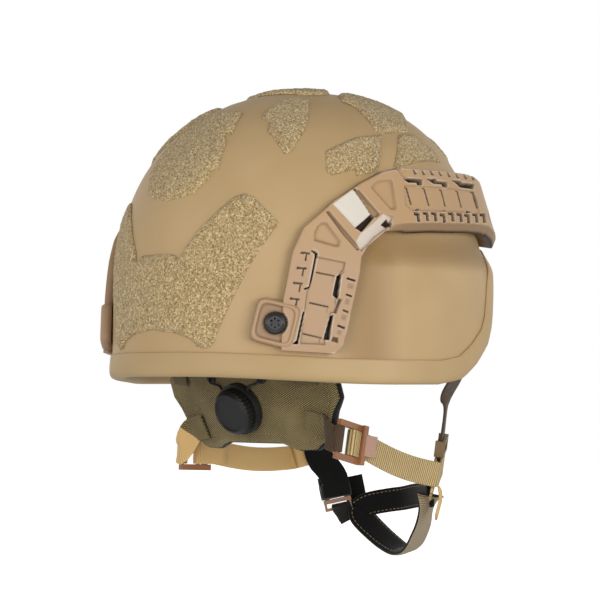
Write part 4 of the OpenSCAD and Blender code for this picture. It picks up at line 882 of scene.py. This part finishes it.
def rear_strap(left, lock, shift):
    """Tail, round the adjuster's middle bar, forward, and a sewn loop round the front strap."""
    out, edge = WEB_T + GAP, WEB_W / 2 + GAP + WEB_T / 2
    a = lock.out(LOCK_L / 2 + 4, .95)
    b = LOOP + shift + SX * (edge + 9) + SZ * out
    near = [lock.out(LOCK_L / 2 + 14, -1), lock.out(LOCK_L / 2 + 2, -1), lock.out(MID_Y + 5, -1.8)]
    near += [lock.out(MID_Y - WRAP * cosd(t), WRAP * sind(t)) for t in range(-90, 91, 15)]
    near += [lock.out(MID_Y + 5, 1.6), lock.out(LOCK_L / 2, .95), a]
    forward = [(a + (b - a) * f + vec(0, 0, -3 * math.sin(math.pi * f)), unit(lock.up * (1 - f) - DOWN * f))
               for f in (.12, .25, .37, .5, .62, .75, .88)]
    sewn = [(x, out) for x in (edge + 9, edge + 1, 5, -7)]
    sewn += [(-WEB_W / 2 + .5 + out * cosd(t), out * sind(t)) for t in range(105, 256, 30)]
    sewn += [(-6, -out), (edge + .5, -out), (edge + 7, -.3)]
    rows = rows_of(near, lock.up) + forward
    rows += rows_of([LOOP + shift + SX * x + SZ * z for x, z in sewn], -DOWN)
    sd = side_name(left)
    strap("rear_strap_%s_web" % sd, rows, "rear_strap_" + sd, None, left=left, steps=2,
          mat=("strap_far",) if left else ("strap",), blend=(b + vec(0, 4, 0), a))


def nape_tab(left, lock):
    """Sewn on the cover, then round the adjuster's rear bar. Points of the cover have a lift as well."""
    tab = ((-44, -36, .6), (-50, -37, 1.2), (-56, -38, 2.3), (-61, -41, 3.8)) if left else \
        ((-52, -32, .1), (-57, -33, .2), (-62, -34, .5), (-67, -35, 1.6))
    bar = lock.out(-BAR_Y, 0)
    sewn = [nape_point(x, z, SEWN_N + lift) for x, z, lift in tab]
    to_bar = square_to(bar - sewn[-1], lock.up)
    side = np.cross(to_bar, lock.up)
    at = lambda y, z: bar + to_bar * y + side * z
    rows = rows_of(sewn, unit(vec(0, TL, 1)))
    rows += rows_of([at(-4.5, 2.2), *turned(bar, to_bar, side, WRAP), at(-3, -2.2), at(-5.5, -.4)], lock.up)
    sd = side_name(left)
    # the right tab's free end is dark brown as painted shade, the left one's is the lighter far-strap webbing
    # as painted light
    strap("nape_tab_%s_web" % sd, rows, "nape_tab_" + sd, "nape", left=left, steps=3,
          mat=("cover", "strap_far" if left else "strap_dark"), face_mat=lambda i, js: 0 if i < 9 else 1)


def nape_hanger(left):
    hx = -60.0
    wide, s = unit(vec(-1, 2 * NBOW * hx / NX ** 2, 0)), REAR_SCREW
    low = tab_low(s, 11) - normal(*s) * .3
    rows = rows_of([tab_point(s), low], tab_wide(s)) + [(low + vec(3, -6, -9), wide)]
    rows += rows_of([nape_point(hx, z, SEWN_N + lift) for z, lift in ((9, 2.4), (1, .7), (-8, .4))], wide)
    sd = side_name(left)
    strap("nape_hanger_%s_web" % sd, rows, "nape_hanger_" + sd, None, left=left, steps=6,
          mat=("strap_olive",), blend=(low, nape_point(hx, 9, SEWN_N)))
    tab_disc("hanger_tab_" + sd, s, "nape_hanger_" + sd, left)


def chin_pieces():
    cup_right, lap = vec(-50, -77, -83.5), -SZ * (WEB_T + .5)
    strap("chin_strap_right_web", rows_of([STRAP_END - DOWN * 1.4 + lap, STRAP_END + DOWN * 2 + lap,
                                           cup_right + vec(-2.7, 1, 2.6)], CHIN_W),
          "chin_strap_right", "chin", w=WEB_W - 2)
    tail = rows_of([vec(-60.8, -74.3, -78.5), vec(-62.5, -73, -86), vec(-63, -68, -98)], CHIN_W)
    strap("strap_tail_right_web", tail, "strap_tail_right", "chin", w=WEB_W - 3, mat=("strap_far",))
    # two padded bands from the left end of the cup to its right, each with one tan face
    first, last = (vec(36, -95.4, -98), vec(.5, .5, .7)), (cup_right, vec(-.3, .4, .9))
    upper = [first, (vec(28, -98.5, -93.5), vec(.2, .2, .95))]
    upper += rows_of([vec(14, -103, -90.5), vec(0, -104.5, -88.5), vec(-16, -99, -86),
                      vec(-34, -88.5, -84.5)], vec(0, .1, 1)) + [last]
    lower = [first, (vec(31, -95, -103.5), vec(.3, .8, -.3)), (vec(21, -97.5, -112.5), vec(.2, .88, -.42)),
             (vec(8, -98, -120.5), vec(.15, .93, -.35)), (vec(-6, -96, -125), vec(.1, .97, -.2)),
             (vec(-21, -90.5, -121), vec(0, .97, -.2)), (vec(-34, -84.5, -109), vec(-.1, .97, -.15)),
             (vec(-43, -79.5, -96), vec(-.3, .9, 0)), last]
    edge_stitches("cup_upper_thread", upper, 17, 3.5)
    edge_stitches("cup_lower_thread", lower[:6], 19, 3.5, face=-1)
    low_half = len(PADDED) // 2
    low_side = lambda i, js: int(max(js) < low_half)
    high_side = lambda i, js: int(min(js) >= low_half)
    cup = dict(node="chin_cup", body="chin", slot="cup")
    for nm, rows, w, tan in (("cup_upper", upper, 17, low_side), ("cup_lower", lower, 19, high_side)):
        strap(nm, rows, w=w, t=4.0, mat=("cup", "cup_tan"), outline=PADDED, face_mat=tan, fill=.7, **cup)
    # the free end beside the buckle, and the loop round the plug's bar
    end = rows_of([vec(35.3, -97.4, -98.9), vec(41.4, -99.6, -91), vec(43.6, -99.4, -83),
                   vec(45, -98.2, -74)], BX)
    strap("cup_tail", end, w=15, t=2.4, mat=("cup",), outline=PADDED, steps=6, **cup)
    bar_y, wrap = SOCKET_L + .4 + 3 + 3 + 1.1, 2.2 * .71 + GAP + WEB_T / 2
    loop = [(-5, bar_y + 10, 3.5), (-3.5, bar_y + 5, 2.4)]
    loop += [(-1.8, bar_y - wrap * sind(t), wrap * cosd(t)) for t in range(0, 181, 30)]
    loop += [(-3.5, bar_y + 4.5, -.6), (-4.5, bar_y + 8.5, 1)]
    loop = rows_of([in_buckle(*q) for q in loop], BX)
    strap("cup_plug_loop", loop, w=13, mat=("strap_black",), steps=4, **cup)


def laces():
    """From the dial's base over the cover, through the eyelets and in behind it."""
    r, sides, turn, high = .9, 12, 42, 3.0
    o = nape_point(0, DZ, COVER_OFF)

    def by_dial(d, z):
        x, y = d * sind(turn), d * cosd(turn)
        return o + vec(-x, y * sind(LEAN) + z * cosd(LEAN), y * cosd(LEAN) - z * sind(LEAN))
    n = unit(vec(2 * NBOW * -24 / NX ** 2, 1, -TL))
    e = nape_point(-24, -3, COVER_OFF)
    p = catmull([by_dial(7.6, high), by_dial(17.5, high), by_dial(21.5, high - .3),
                 e + n * 2.6 + vec(2.2, 0, -2.6), e + n * 1.8, e - n * 2,
                 e - n * (9 + COVER_OFF + 10 + 3)], 6)
    for left in (False, True):
        q = flip_x(p, left)
        d = tangents(q)
        x = unit(np.cross(d, np.broadcast_to([.3, .2, .93], d.shape)))
        y = np.cross(d, x)
        ph = np.linspace(0, 2 * np.pi, sides, endpoint=False)[:, None]
        rings = q[:, None] + r * (x[:, None] * np.cos(ph) + y[:, None] * np.sin(ph))
        name = "lace_" + side_name(left)
        place(sweep(name + "_braid", rings, mats=["lace"]), name, "nape")


def headband():
    """Over the lining's back, then level and up to the brow."""
    dome_pt = lambda a, z, g: polar(dome_r(a, z, g), a, z)
    g = -SHELL_T - (PAD_N + PAD_T + .75 + .3)
    rows = rows_of([nape_point(-x, 2 + max(0, x - 36) * .4, -9 - 10 - 1.75) for x in (20, 36, 54, 66)],
                   unit(vec(0, TL, 1)))
    for a in (98, 80, 62, 44, 28, 14, 0):
        z = 106 - .62 * a
        rows.append((dome_pt(a, z, g), unit(dome_pt(a, z + 6, g) - dome_pt(a, z - 6, g))))
    rows += [(flip_x(p), flip_x(w)) for p, w in rows[-2::-1]]
    strap("headband_strip", rows, "headband", "helmet", w=18, t=1.5, steps=4, mat=("band",), slot="band")


# Rails: a fine relief over each rail's outer face, laid out in plan: u is PLAN_SCALE times the angle
# forward of PLAN_FROM, v is the height. Each station: angle and height of the upper edge, angle and
# height of the lower edge, further stand-off, share of the bevel
RAIL_PATH = np.array([
    (140, 14, 125.5, 12, 0, 0), (140, 17, 123.5, 16, 0, 0), (140, 18, 123, 17, 0, 0),
    (139.5, 46, 120, 45, 0, 0), (137.2, 74, 118, 64, 0, 0), (137, 76, 118, 66, 0, 0),
    (134, 91, 117.5, 73, 0, 0), (124.5, 109, 115.5, 80, 0, 0), (115, 121, 109, 90, 0, 0),
    (106, 129, 103, 91, 0, .6), (98.5, 132, 100, 91, 0, 1), (98, 132, 99.5, 91, 0, 1),
    (90, 132.3, 91, 92.3, .2, 1), (79, 132.6, 81.5, 93, .6, 1), (70, 133, 72, 94, 1.3, 1),
    (61, 133.3, 62.5, 94.5, 2.4, 1), (54, 133, 55, 94.5, 3.6, 1), (53.5, 133, 54.5, 94, 3.7, 1),
    (46, 131, 46.5, 91, 4.6, .8), (39, 126, 40, 87, 4.6, .8)])
RAIL_T, RAIL_LIP, RAIL_BEVEL, RAIL_STEP, PLAN_SCALE, PLAN_FROM = 7.0, 1.5, 5.0, .45, 2.1, 140
# each row: depth, width of the wall, share of the dark colour as painted shade, outlines as runs of u, v
RAIL_CUTS = [
    # floor rear
    (1.3, 1, 0, [[20, 73.1, 37.5, 69.4, 36.5, 64.4, 34, 61.8, 32, 46.8, 31.5, 38, 28.5, 36.8, 25, 21.7,
     25.5, 17.3, 10.5, 18, 13, 37.9, 14.5, 51.7, 16, 52.9]]),
    # floor front
    (1.1, 1.2, 0, [[86.3, 121, 170.7, 122.5, 169.1, 106.5, 89, 103.7, 83.4, 107.4]]),
    # pockets rear front
    (.7, 1.6, .12, [[38.6, 56.5, 42.4, 55.3, 41.4, 52.2, 37.8, 53.4],
     [37.2, 46.9, 39.9, 45.9, 38.9, 42.4, 36.1, 43.3], [34.9, 36.8, 38, 35.8, 36.8, 32.5, 33.8, 33.7],
     [32.3, 27.1, 35.1, 26.2, 34, 23.4, 31.3, 24.3]]),
    # ledge
    (2.6, 1.6, .25, [[33, 46.8, 35.1, 45.9, 31.7, 36.8, 29.4, 37.5],
     [29.6, 22.7, 32.8, 22, 32.6, 18.4, 28.4, 19.9]]),
    # triangle rear
    (1.8, 2.6, 0, [[23.5, 95, 27, 94.8, 35, 83, 34, 78.9, 31.5, 78.7, 18.5, 82.5, 18.5, 87.9, 20.5, 92.4]]),
    # triangle front
    (1.8, 2.6, 0, [[58, 118.1, 61.5, 121.4, 65.5, 123.5, 76, 124.5, 77.5, 123.2, 76.5, 105.5, 74.5, 103.6,
     71, 103.6]]),
    # crease
    (1.8, 1.4, .3, [[25.8, 102, 28.6, 101.8, 47.2, 78.1, 44.5, 76.5, 36.1, 86.6]]),
    # crease front
    (2.2, 1.2, .15, [[47, 116.7, 49.8, 115.9, 62.6, 100.7, 59.2, 98.1, 56.1, 101.4]]),
    # teeth rear
    (2.2, .5, .75, [[10.7, 75.7, 16.2, 75.1, 16.4, 74.2, 10.9, 74.7],
     [14.1, 74.3, 14.7, 74.3, 14.3, 70.2, 13.4, 70.2], [8.8, 66.1, 14.5, 65.6, 14.3, 64.7, 8.8, 65.1],
     [12.2, 64.8, 13, 64.9, 12.2, 60.4, 11.6, 60.4], [6.7, 56.7, 12.2, 55.9, 12.2, 55.1, 6.7, 55.7],
     [10.5, 55.2, 11.3, 55.1, 10.5, 50.4, 9.9, 50.4], [5, 46.9, 10.3, 46.1, 10.3, 45.2, 4.8, 45.9],
     [8.6, 45.4, 9.2, 45.3, 8.6, 41.1, 7.8, 41.1]]),
    # teeth rear front
    (2.6, .5, .85, [[38.2, 59.9, 43.1, 58.2, 42.6, 57.1, 38, 58.7],
     [37.6, 49.7, 41, 48.3, 40.7, 47.3, 37.2, 48.7], [35.5, 39.8, 38.9, 38.3, 38.6, 37.5, 35.3, 38.9],
     [32.6, 30.2, 36.5, 28.4, 36.3, 27.4, 32.1, 29.1]]),
    # grooves rear
    (2.6, .5, .8, [[19.9, 63.6, 31.3, 61, 31.3, 60.1, 19.9, 62.6],
     [16.2, 44.4, 27.5, 41.7, 27.3, 40.7, 16, 43.4], [12.2, 25, 23.5, 22.1, 23.3, 21.3, 12.2, 24]]),
    # marks rear
    (2.2, .6, .45, [[30, 60, 30.5, 59.8, 29.8, 56.7, 29.2, 56.8],
     [26.5, 40.5, 27.1, 40.3, 26.5, 37.7, 25.8, 37.7], [21.6, 21.1, 22.5, 21, 22.1, 18.2, 21.6, 18.4]]),
    # grooves front
    (2.6, .5, .85, [[88, 119.5, 89.5, 119.5, 90.5, 108.4, 89, 108.3],
     [86.7, 119.8, 89, 119.7, 88.8, 119, 86.7, 119.1],
     [104.8, 119.7, 106.5, 119.8, 106.9, 108.5, 105.2, 108.5],
     [103.3, 120, 106.1, 120.1, 105.6, 119.2, 103.3, 119.3],
     [123.1, 119.9, 125, 120.1, 124.3, 108.9, 122.4, 108.8],
     [121.2, 120.2, 124.3, 120.3, 123.9, 119.5, 121.2, 119.4],
     [143.4, 120.4, 145.7, 120.6, 144.1, 109.5, 141.8, 109.3],
     [141.3, 120.7, 144.9, 120.8, 144.5, 120.1, 141.1, 120],
     [167.8, 121.3, 170.9, 121.4, 169.7, 110.6, 166.5, 110.3],
     [165.1, 121.4, 170.1, 121.7, 169.3, 120.9, 164.8, 120.6]]),
    # teeth top
    (3.2, .5, .7, [[97.4, 131.7, 98.9, 131.8, 101, 128.7, 98.3, 128.4],
     [106.1, 131.9, 107.5, 131.9, 109.8, 128.9, 106.7, 128.6],
     [115.1, 132.1, 117, 132.3, 119.3, 129.2, 115.9, 128.8],
     [125, 132.2, 127.1, 132.4, 129.2, 129.3, 125.8, 129],
     [135.7, 132.3, 137.8, 132.5, 140.3, 129.4, 136.3, 129],
     [147.4, 132.4, 149.7, 132.5, 152.5, 129.4, 148.1, 129],
     [160, 132.7, 163, 132.8, 166.1, 129.9, 160.7, 129.4],
     [174.5, 133.3, 178.3, 133.5, 182.5, 130.6, 175.1, 129.9]]),
    # teeth low
    (3, .6, .7, [[89.5, 103.2, 94.5, 103.1, 93.5, 97.1, 90.9, 97, 91.6, 101.1, 89.5, 101.1],
     [97.4, 103.9, 102.7, 103.8, 101.6, 97.8, 98.9, 97.7, 99.8, 101.9, 97.4, 101.8],
     [105.2, 104.1, 110.9, 104.2, 109.4, 98.1, 106.5, 97.9, 107.5, 102.2, 105, 102.1],
     [113.6, 103.7, 119.5, 103.7, 117.8, 97.6, 114.7, 97.5, 115.9, 101.7, 113.2, 101.7],
     [122.9, 105, 129.6, 105.1, 127.5, 99, 124.1, 98.7, 125.6, 103, 122.6, 103],
     [132.5, 105.2, 139.9, 105.4, 137.3, 99.2, 133.6, 98.9, 135.2, 103.3, 132.1, 103.1],
     [141.8, 104.9, 149.7, 105.2, 147, 99, 142.8, 98.7, 144.7, 103, 141.3, 103],
     [153.5, 106.2, 163.4, 106.6, 159.6, 100.2, 154.8, 99.9, 157.1, 104.3, 153.1, 104.2],
     [166.5, 106.9, 178.9, 107.6, 174.1, 101.1, 167.8, 100.6, 170.7, 105.1, 165.9, 104.9]]),
    # notches front
    (4, .5, .95, [[90.9, 104.2, 94.1, 105.9, 97, 105.8, 92.6, 104.3],
     [116.1, 105.3, 122, 106.6, 121.8, 105.8], [145.1, 105.7, 149.7, 107.9, 154.3, 107.4, 152.2, 106.1]]),
    # slots rear
    (5.5, .5, 1, [[17, 76.5, 18.5, 76.5, 21, 74.6, 16.5, 53, 13.5, 51.9, 13, 52.8, 16, 53.7, 19.5, 74.2,
     18, 75.6], [12.5, 38.3, 13.5, 38, 10.5, 23.6, 9.5, 18, 6.5, 18.1, 9, 20.4, 9.5, 23.5],
     [37, 63.8, 34.6, 61.6, 34.4, 59.3, 32.6, 46, 30, 48.4, 32.3, 60.6],
     [29.8, 36.2, 28.1, 35.5, 24.2, 20.9, 27.5, 20.6]]),
    # slots front
    (5.5, .5, 1, [[87, 124.5, 90.5, 125.3, 105, 125.5, 103, 121.4, 98.5, 121.4, 98.5, 123, 90.5, 122.8],
     [109.5, 126, 120, 126.7, 121, 125.3, 133, 125.2, 130.5, 121.8, 125, 121.8, 124.5, 123.5, 115.5, 123.3],
     [139.5, 127, 151.5, 127.6, 154.5, 126.4, 176, 127.1, 170, 123.4, 148, 122.9, 145, 124.8]]),
    # gap
    (5.5, .5, .95, [[45.5, 116.7, 47, 116.8, 56.5, 101.3, 58.5, 99, 48, 88.7, 44, 91.5, 56, 100.8]]),
    # holes
    (5.5, .6, 1, [[67.6, 98.3, 70.4, 94.9, 68.9, 92.3, 62.6, 94.2],
     [67.6, 128.4, 69.5, 130.2, 71.8, 130.5, 70.1, 128.7]]),
]
# planes that slope down into the face: outline, start, direction, slope, share of the near white as painted
# highlight
RAIL_SLOPES = [
    ([(44.7, 116), (55.9, 100.8), (44.5, 91), (31.1, 106.3)], (38, 111), (.62, -.78), .09, 1.0),
    ([(47.2, 87.4), (64.7, 100.9), (72, 99.7), (65.7, 91.5), (56.5, 85.9), (47, 76.5), (44, 82.9)],
     (55, 94), (.62, -.78), .42, .8),
    ([(82, 131.5), (89.9, 131.5), (92.2, 126), (87.6, 125.3)], (92, 128), (-1, 0), .35, 0.0),
]
# the raised square round the rear screw in section: half width, height, squareness, share of painted shade
BOSS = [(14.4, .2, 6, .5), (14.2, 3.4, 6, .3), (13.9, 5.4, 6, .14), (13.3, 6.6, 6, .05), (12.7, 7.4, 6, 0),
        (12.1, 7.6, 6, 0), (11.5, 7.4, 6, 0), (11.0, 6.4, 5.5, .2), (10.7, 5.4, 5, .34), (10.2, 4.9, 5, .3),
        (9.4, 4.7, 4, .2), (8.3, 4.6, 2.5, .3), (7.5, 4.45, 2, .5), (2.8, 4.45, 2, .5), (2.8, .2, 2, .5)]
BOSS_TILT, SEAT_R, SEAT_H, LEFT_STANDING = -14, 8.4, 4.4, .35


def rail_grid():
    """Even grid over the rail's outer face.

    Gives its stations, the shares across it, and each point's place, angle, height, normal and thickness.
    """
    k = np.arange(len(RAIL_PATH))
    row = lambda s: np.stack([np.interp(s, k, RAIL_PATH[:, c]) for c in range(6)], -1)

    def face(r, f):
        f3 = f[..., None]
        return on_shell(r[:, 0], r[:, 1], RAIL_T + r[:, 4])[:, None] * (1 - f3) \
            + on_shell(r[:, 2], r[:, 3], RAIL_T + RAIL_LIP + r[:, 4])[:, None] * f3
    fine = np.linspace(0, k[-1], 2000)
    run = run_of(face(row(fine), vec(.5)[None])[:, 0])
    R = row(np.interp(np.linspace(0, run[-1], int(run[-1] / RAIL_STEP)), run, fine))
    f = np.linspace(0, 1, 100)[None]
    P = face(R, f)
    a, z = [R[:, None, i] * (1 - f) + R[:, None, i + 2] * f for i in (0, 1)]
    N = unit(np.cross(np.gradient(P, axis=0), np.gradient(P, axis=1)))
    thick = np.sum((P - on_shell(a, z)) * N, -1)
    return (R, f, P, a, z, -N, -thick) if np.median(thick) < 0 else (R, f, P, a, z, N, thick)


def rail_relief(R, f, P, a, z, thick):
    """Depth under the outer face, and the shares of painted shade in the dark colour and painted highlight in
    the near white.
    """
    u, v = (PLAN_FROM - a) * PLAN_SCALE, z
    depth, dark, painted_highlight = np.zeros(u.shape), np.zeros(u.shape), np.zeros(u.shape)
    for deep, wall, share, outlines in RAIL_CUTS:
        for run in outlines:
            outline = np.reshape(run, (-1, 2))
            (u0, v0), (u1, v1) = outline.min(0) - 2, outline.max(0) + 2
            m = (u > u0) & (u < u1) & (v > v0) & (v < v1)
            d = inside_by(outline, u[m], v[m])
            depth[m] = np.maximum(depth[m], deep * sm(-wall * .15, wall * .85, d))
            dark[m] = np.maximum(dark[m], share * sm(-.15, .35, d))
    for outline, start, way, slope, share in RAIL_SLOPES:
        down = np.clip(((u - start[0]) * way[0] + (v - start[1]) * way[1]) * slope, 0, 5)
        t = sm(-.3, .3, inside_by(outline, u, v))
        depth = np.maximum(depth * (1 - t), depth * t * (depth > 4)) + down * t * (depth <= 4)
        painted_highlight = np.maximum(painted_highlight, share * t * (1 - dark))
    # rounded long edges, bevel under the front bar with painted shade on it, seats for the screws
    across = np.linalg.norm(P[:, -1] - P[:, 0], axis=-1)[:, None]
    for e in (f * across, (1 - f) * across):
        depth += .5 * np.clip(1 - e, 0, 1) ** 2
    under = R[:, None, 5] * np.clip((f - .87) / .13, 0, 1)
    depth += RAIL_BEVEL * under
    dark = np.maximum(dark, .42 * sm(0, .2, under))
    for s in SEATS:
        near_screw = np.linalg.norm(on_shell(a, z) - on_shell(*s), axis=-1) < SEAT_R
        depth = np.where(near_screw, np.maximum(depth, thick - SEAT_H), depth)
    depth = np.clip(depth, 0, thick - LEFT_STANDING)

    def around(k):
        """Mean depth of the grid points up to k steps away."""
        span = range(-k, k + 1)
        return sum(np.roll(depth, (i, j), (0, 1)) for i in span for j in span) / (2 * k + 1) ** 2
    # painted shade on walls and on the floor close beside them, painted highlight on raised lines beside a
    # drop
    steep = np.hypot(np.gradient(depth, axis=0), np.gradient(depth, axis=1)) / RAIL_STEP
    hollow = np.clip(depth - around(4), 0, 2)
    dark = np.clip(np.maximum(dark, .38 * sm(.25, 1.6, steep) * (1 - painted_highlight)) + .3 * hollow * (1 - painted_highlight), 0, 1)
    painted_highlight = np.maximum(painted_highlight, .45 * sm(.15, .9, around(3) - depth) * (1 - dark))
    return depth, dark, painted_highlight


def rail_boss(left):
    c, n = on_shell(*REAR_SCREW), normal(*REAR_SCREW)
    ex = unit(np.cross([0, 0, 1], n))
    ey = np.cross(n, ex)
    ph = np.arange(0, 360, 3.0)
    rings = []
    for half, h, p, _ in BOSS:
        r = half / (np.abs(cosd(ph)) ** p + np.abs(sind(ph)) ** p) ** (1 / p)
        x, y = [(r * q(ph + BOSS_TILT))[:, None] for q in (cosd, sind)]
        rings.append(flip_x(c + ex * x + ey * y + n * h, left))
    V = np.array(rings)
    faces = grid_faces(*V.shape[:2], close_u=True, close_v=True)
    sd = side_name(left)
    o = solid("rail_boss_" + sd, V.reshape(-1, 3), faces, mats=["rail"])
    # painted shade at the boss's foot and in its recess
    store(o, "dark", np.repeat([b[3] for b in BOSS], len(ph)))
    place(o, "rail_" + sd, "helmet")


def rail_piece(left):
    R, f, P, a, z, N, thick = rail_grid()
    depth, dark, painted_highlight = rail_relief(R, f, P, a, z, thick)
    n, m = depth.shape
    foot = np.stack([on_shell(R[:, 0], R[:, 1], .1), on_shell(R[:, 2], R[:, 3], .1)], 1)
    verts = np.concatenate([(P - N * depth[..., None]).reshape(-1, 3), foot.reshape(-1, 3)])
    # two long sides, the back and both ends close the relief
    faces, b = grid_faces(n, m), n * m
    for i in range(n - 1):
        g, h, k = i * m, (i + 1) * m, b + 2 * i
        faces += [(g, k, k + 2, h), (g + m - 1, h + m - 1, k + 3, k + 1), (k, k + 1, k + 3, k + 2)]
    ends = cap_faces(n, m)
    faces += [ends[0] + (b + 1, b), ends[1] + (b + 2 * n - 2, b + 2 * n - 1)]
    sd = side_name(left)
    o = solid("rail_relief_" + sd, flip_x(verts, left), faces, mats=["rail"])
    # painted shade down the side walls to the foot; no painted highlight there
    for name, share, at_foot in (("dark", dark, .6), ("painted_highlight", painted_highlight, 0)):
        store(o, name, np.concatenate([share.ravel(), np.full(2 * n, at_foot)]))
    place(o, "rail_" + sd, "helmet")
    rail_boss(left)


# Build
shell_piece()
trim_piece()
for name, angle, elevation, outline in (("rear", 180, 10, REAR), ("rear_top", 180, 45, REAR_TOP),
                                        ("crown", 180, 85, CROWN_PATCH), ("front_top", 0, 70, FRONT_TOP),
                                        ("front", 0, 40, FRONT)):
    patch_piece(name, angle, elevation, outline)
for left in (False, True):
    for name, angle, elevation, outline in (("arrow_", 110, 65, ARROW), ("side_rear_", 85, 48, SIDE_REAR),
                                            ("side_front_", 60, 48, SIDE_FRONT)):
        patch_piece(name + side_name(left), angle, elevation, outline, left)
for name in ("pad_crown", "pad_front", "pad_rear", "pads_side_right"):
    pad_piece(name)
pad_piece("pads_side_left", True)
nape_pieces()
front_straps()
for left, shift in ((False, STILL), (True, DRAWN)):
    rear_strap(left, LOCKS[left], shift)
    nape_tab(left, LOCKS[left])
for left in (False, True):
    nape_hanger(left)
chin_pieces()
laces()
headband()
for left in (False, True):
    rail_piece(left)

CAD_MATS = {
    "screw": ["rail_screws"], "nut": ["post_nuts"], "hook": ["hook_discs"], "spool": ["dial_spool"],
    "black": ["eyelets", "dial_base", "dial_plate"], "dial": ["dial_knob"], "buckle": ["buckle_socket"],
    "fitting": ["ladderlock_right", "ladderlock_left", "buckle_plug"],
    "slider": ["slider_right", "slider_left"]}
for key, names in CAD_MATS.items():
    for o in (nodes[name] for name in names):
        if not o.material_slots:
            o.data.materials.append(None)
        for slot in o.material_slots:
            slot.link = "OBJECT"
            slot.material = M[key]

# Stage, light and camera, in metres
FLOOR_Z, FLOOR_HALF = -1500, 30000
corners = [(x * FLOOR_HALF, y * FLOOR_HALF, FLOOR_Z) for x, y in ((-1, -1), (1, -1), (1, 1), (-1, 1))]
floor = make("studio_floor", corners, [(0, 1, 2, 3)], smooth=False)
g = Look("studio_floor_mat")
floor_colour = g.tint(col((250, 250, 249)), g.noise(g.obj(), 3, 2), .04, (244, 244, 243))
g.b.inputs["Emission Color"].default_value = WHITE
g.put(g.b.inputs["Emission Strength"], g.math("MULTIPLY_ADD", g.camera_ray(), .75, .1))
floor.data.materials.append(g.out(floor_colour, .9, None, .1))

world = bpy.data.worlds.new("studio")
bpy.context.scene.world = world
world.use_nodes = True
sky = Wiring(world.node_tree)
up = sky.n("SeparateXYZ", (0, sky.n("TexCoord")["Generated"]))[2]
light = sky.ramp(up, (.12, (.95, .95, .95, 1)), (.75, (.26, .26, .27, 1)))
sky.put(sky.t.nodes["Background"].inputs[0], sky.mix(sky.camera_ray(), light, WHITE))

AIM = Vector((0, 0, .05))


def toward_aim(data, az, el, dist):
    """Stand a lamp or camera at a bearing round the object, facing it."""
    o = bpy.data.objects.new(data.name, data)
    flat = dist * cosd(el)
    o.location = (flat * sind(az), -flat * cosd(az), dist * sind(el) + AIM.z)
    o.rotation_euler = (AIM - o.location).to_track_quat("-Z", "Y").to_euler()
    bpy.context.scene.collection.objects.link(o)
    return o


for name, az, el, dist, power in (("key", 258, 3, 1.5, 7), ("fill", 196, 0, 1.6, 5)):
    lamp = bpy.data.lights.new(name, "AREA")
    lamp.energy, lamp.size = power, .7
    toward_aim(lamp, az, el, dist)

DIST, HALF_VIEW = 1.55, .2045
cam = bpy.data.cameras.new("camera")
cam.sensor_fit = "HORIZONTAL"
cam.angle = 2 * math.atan(HALF_VIEW / DIST)
cam.clip_end = 100
bpy.context.scene.camera = toward_aim(cam, 225, -2, DIST)
bpy.context.scene.view_settings.view_transform = "Standard"
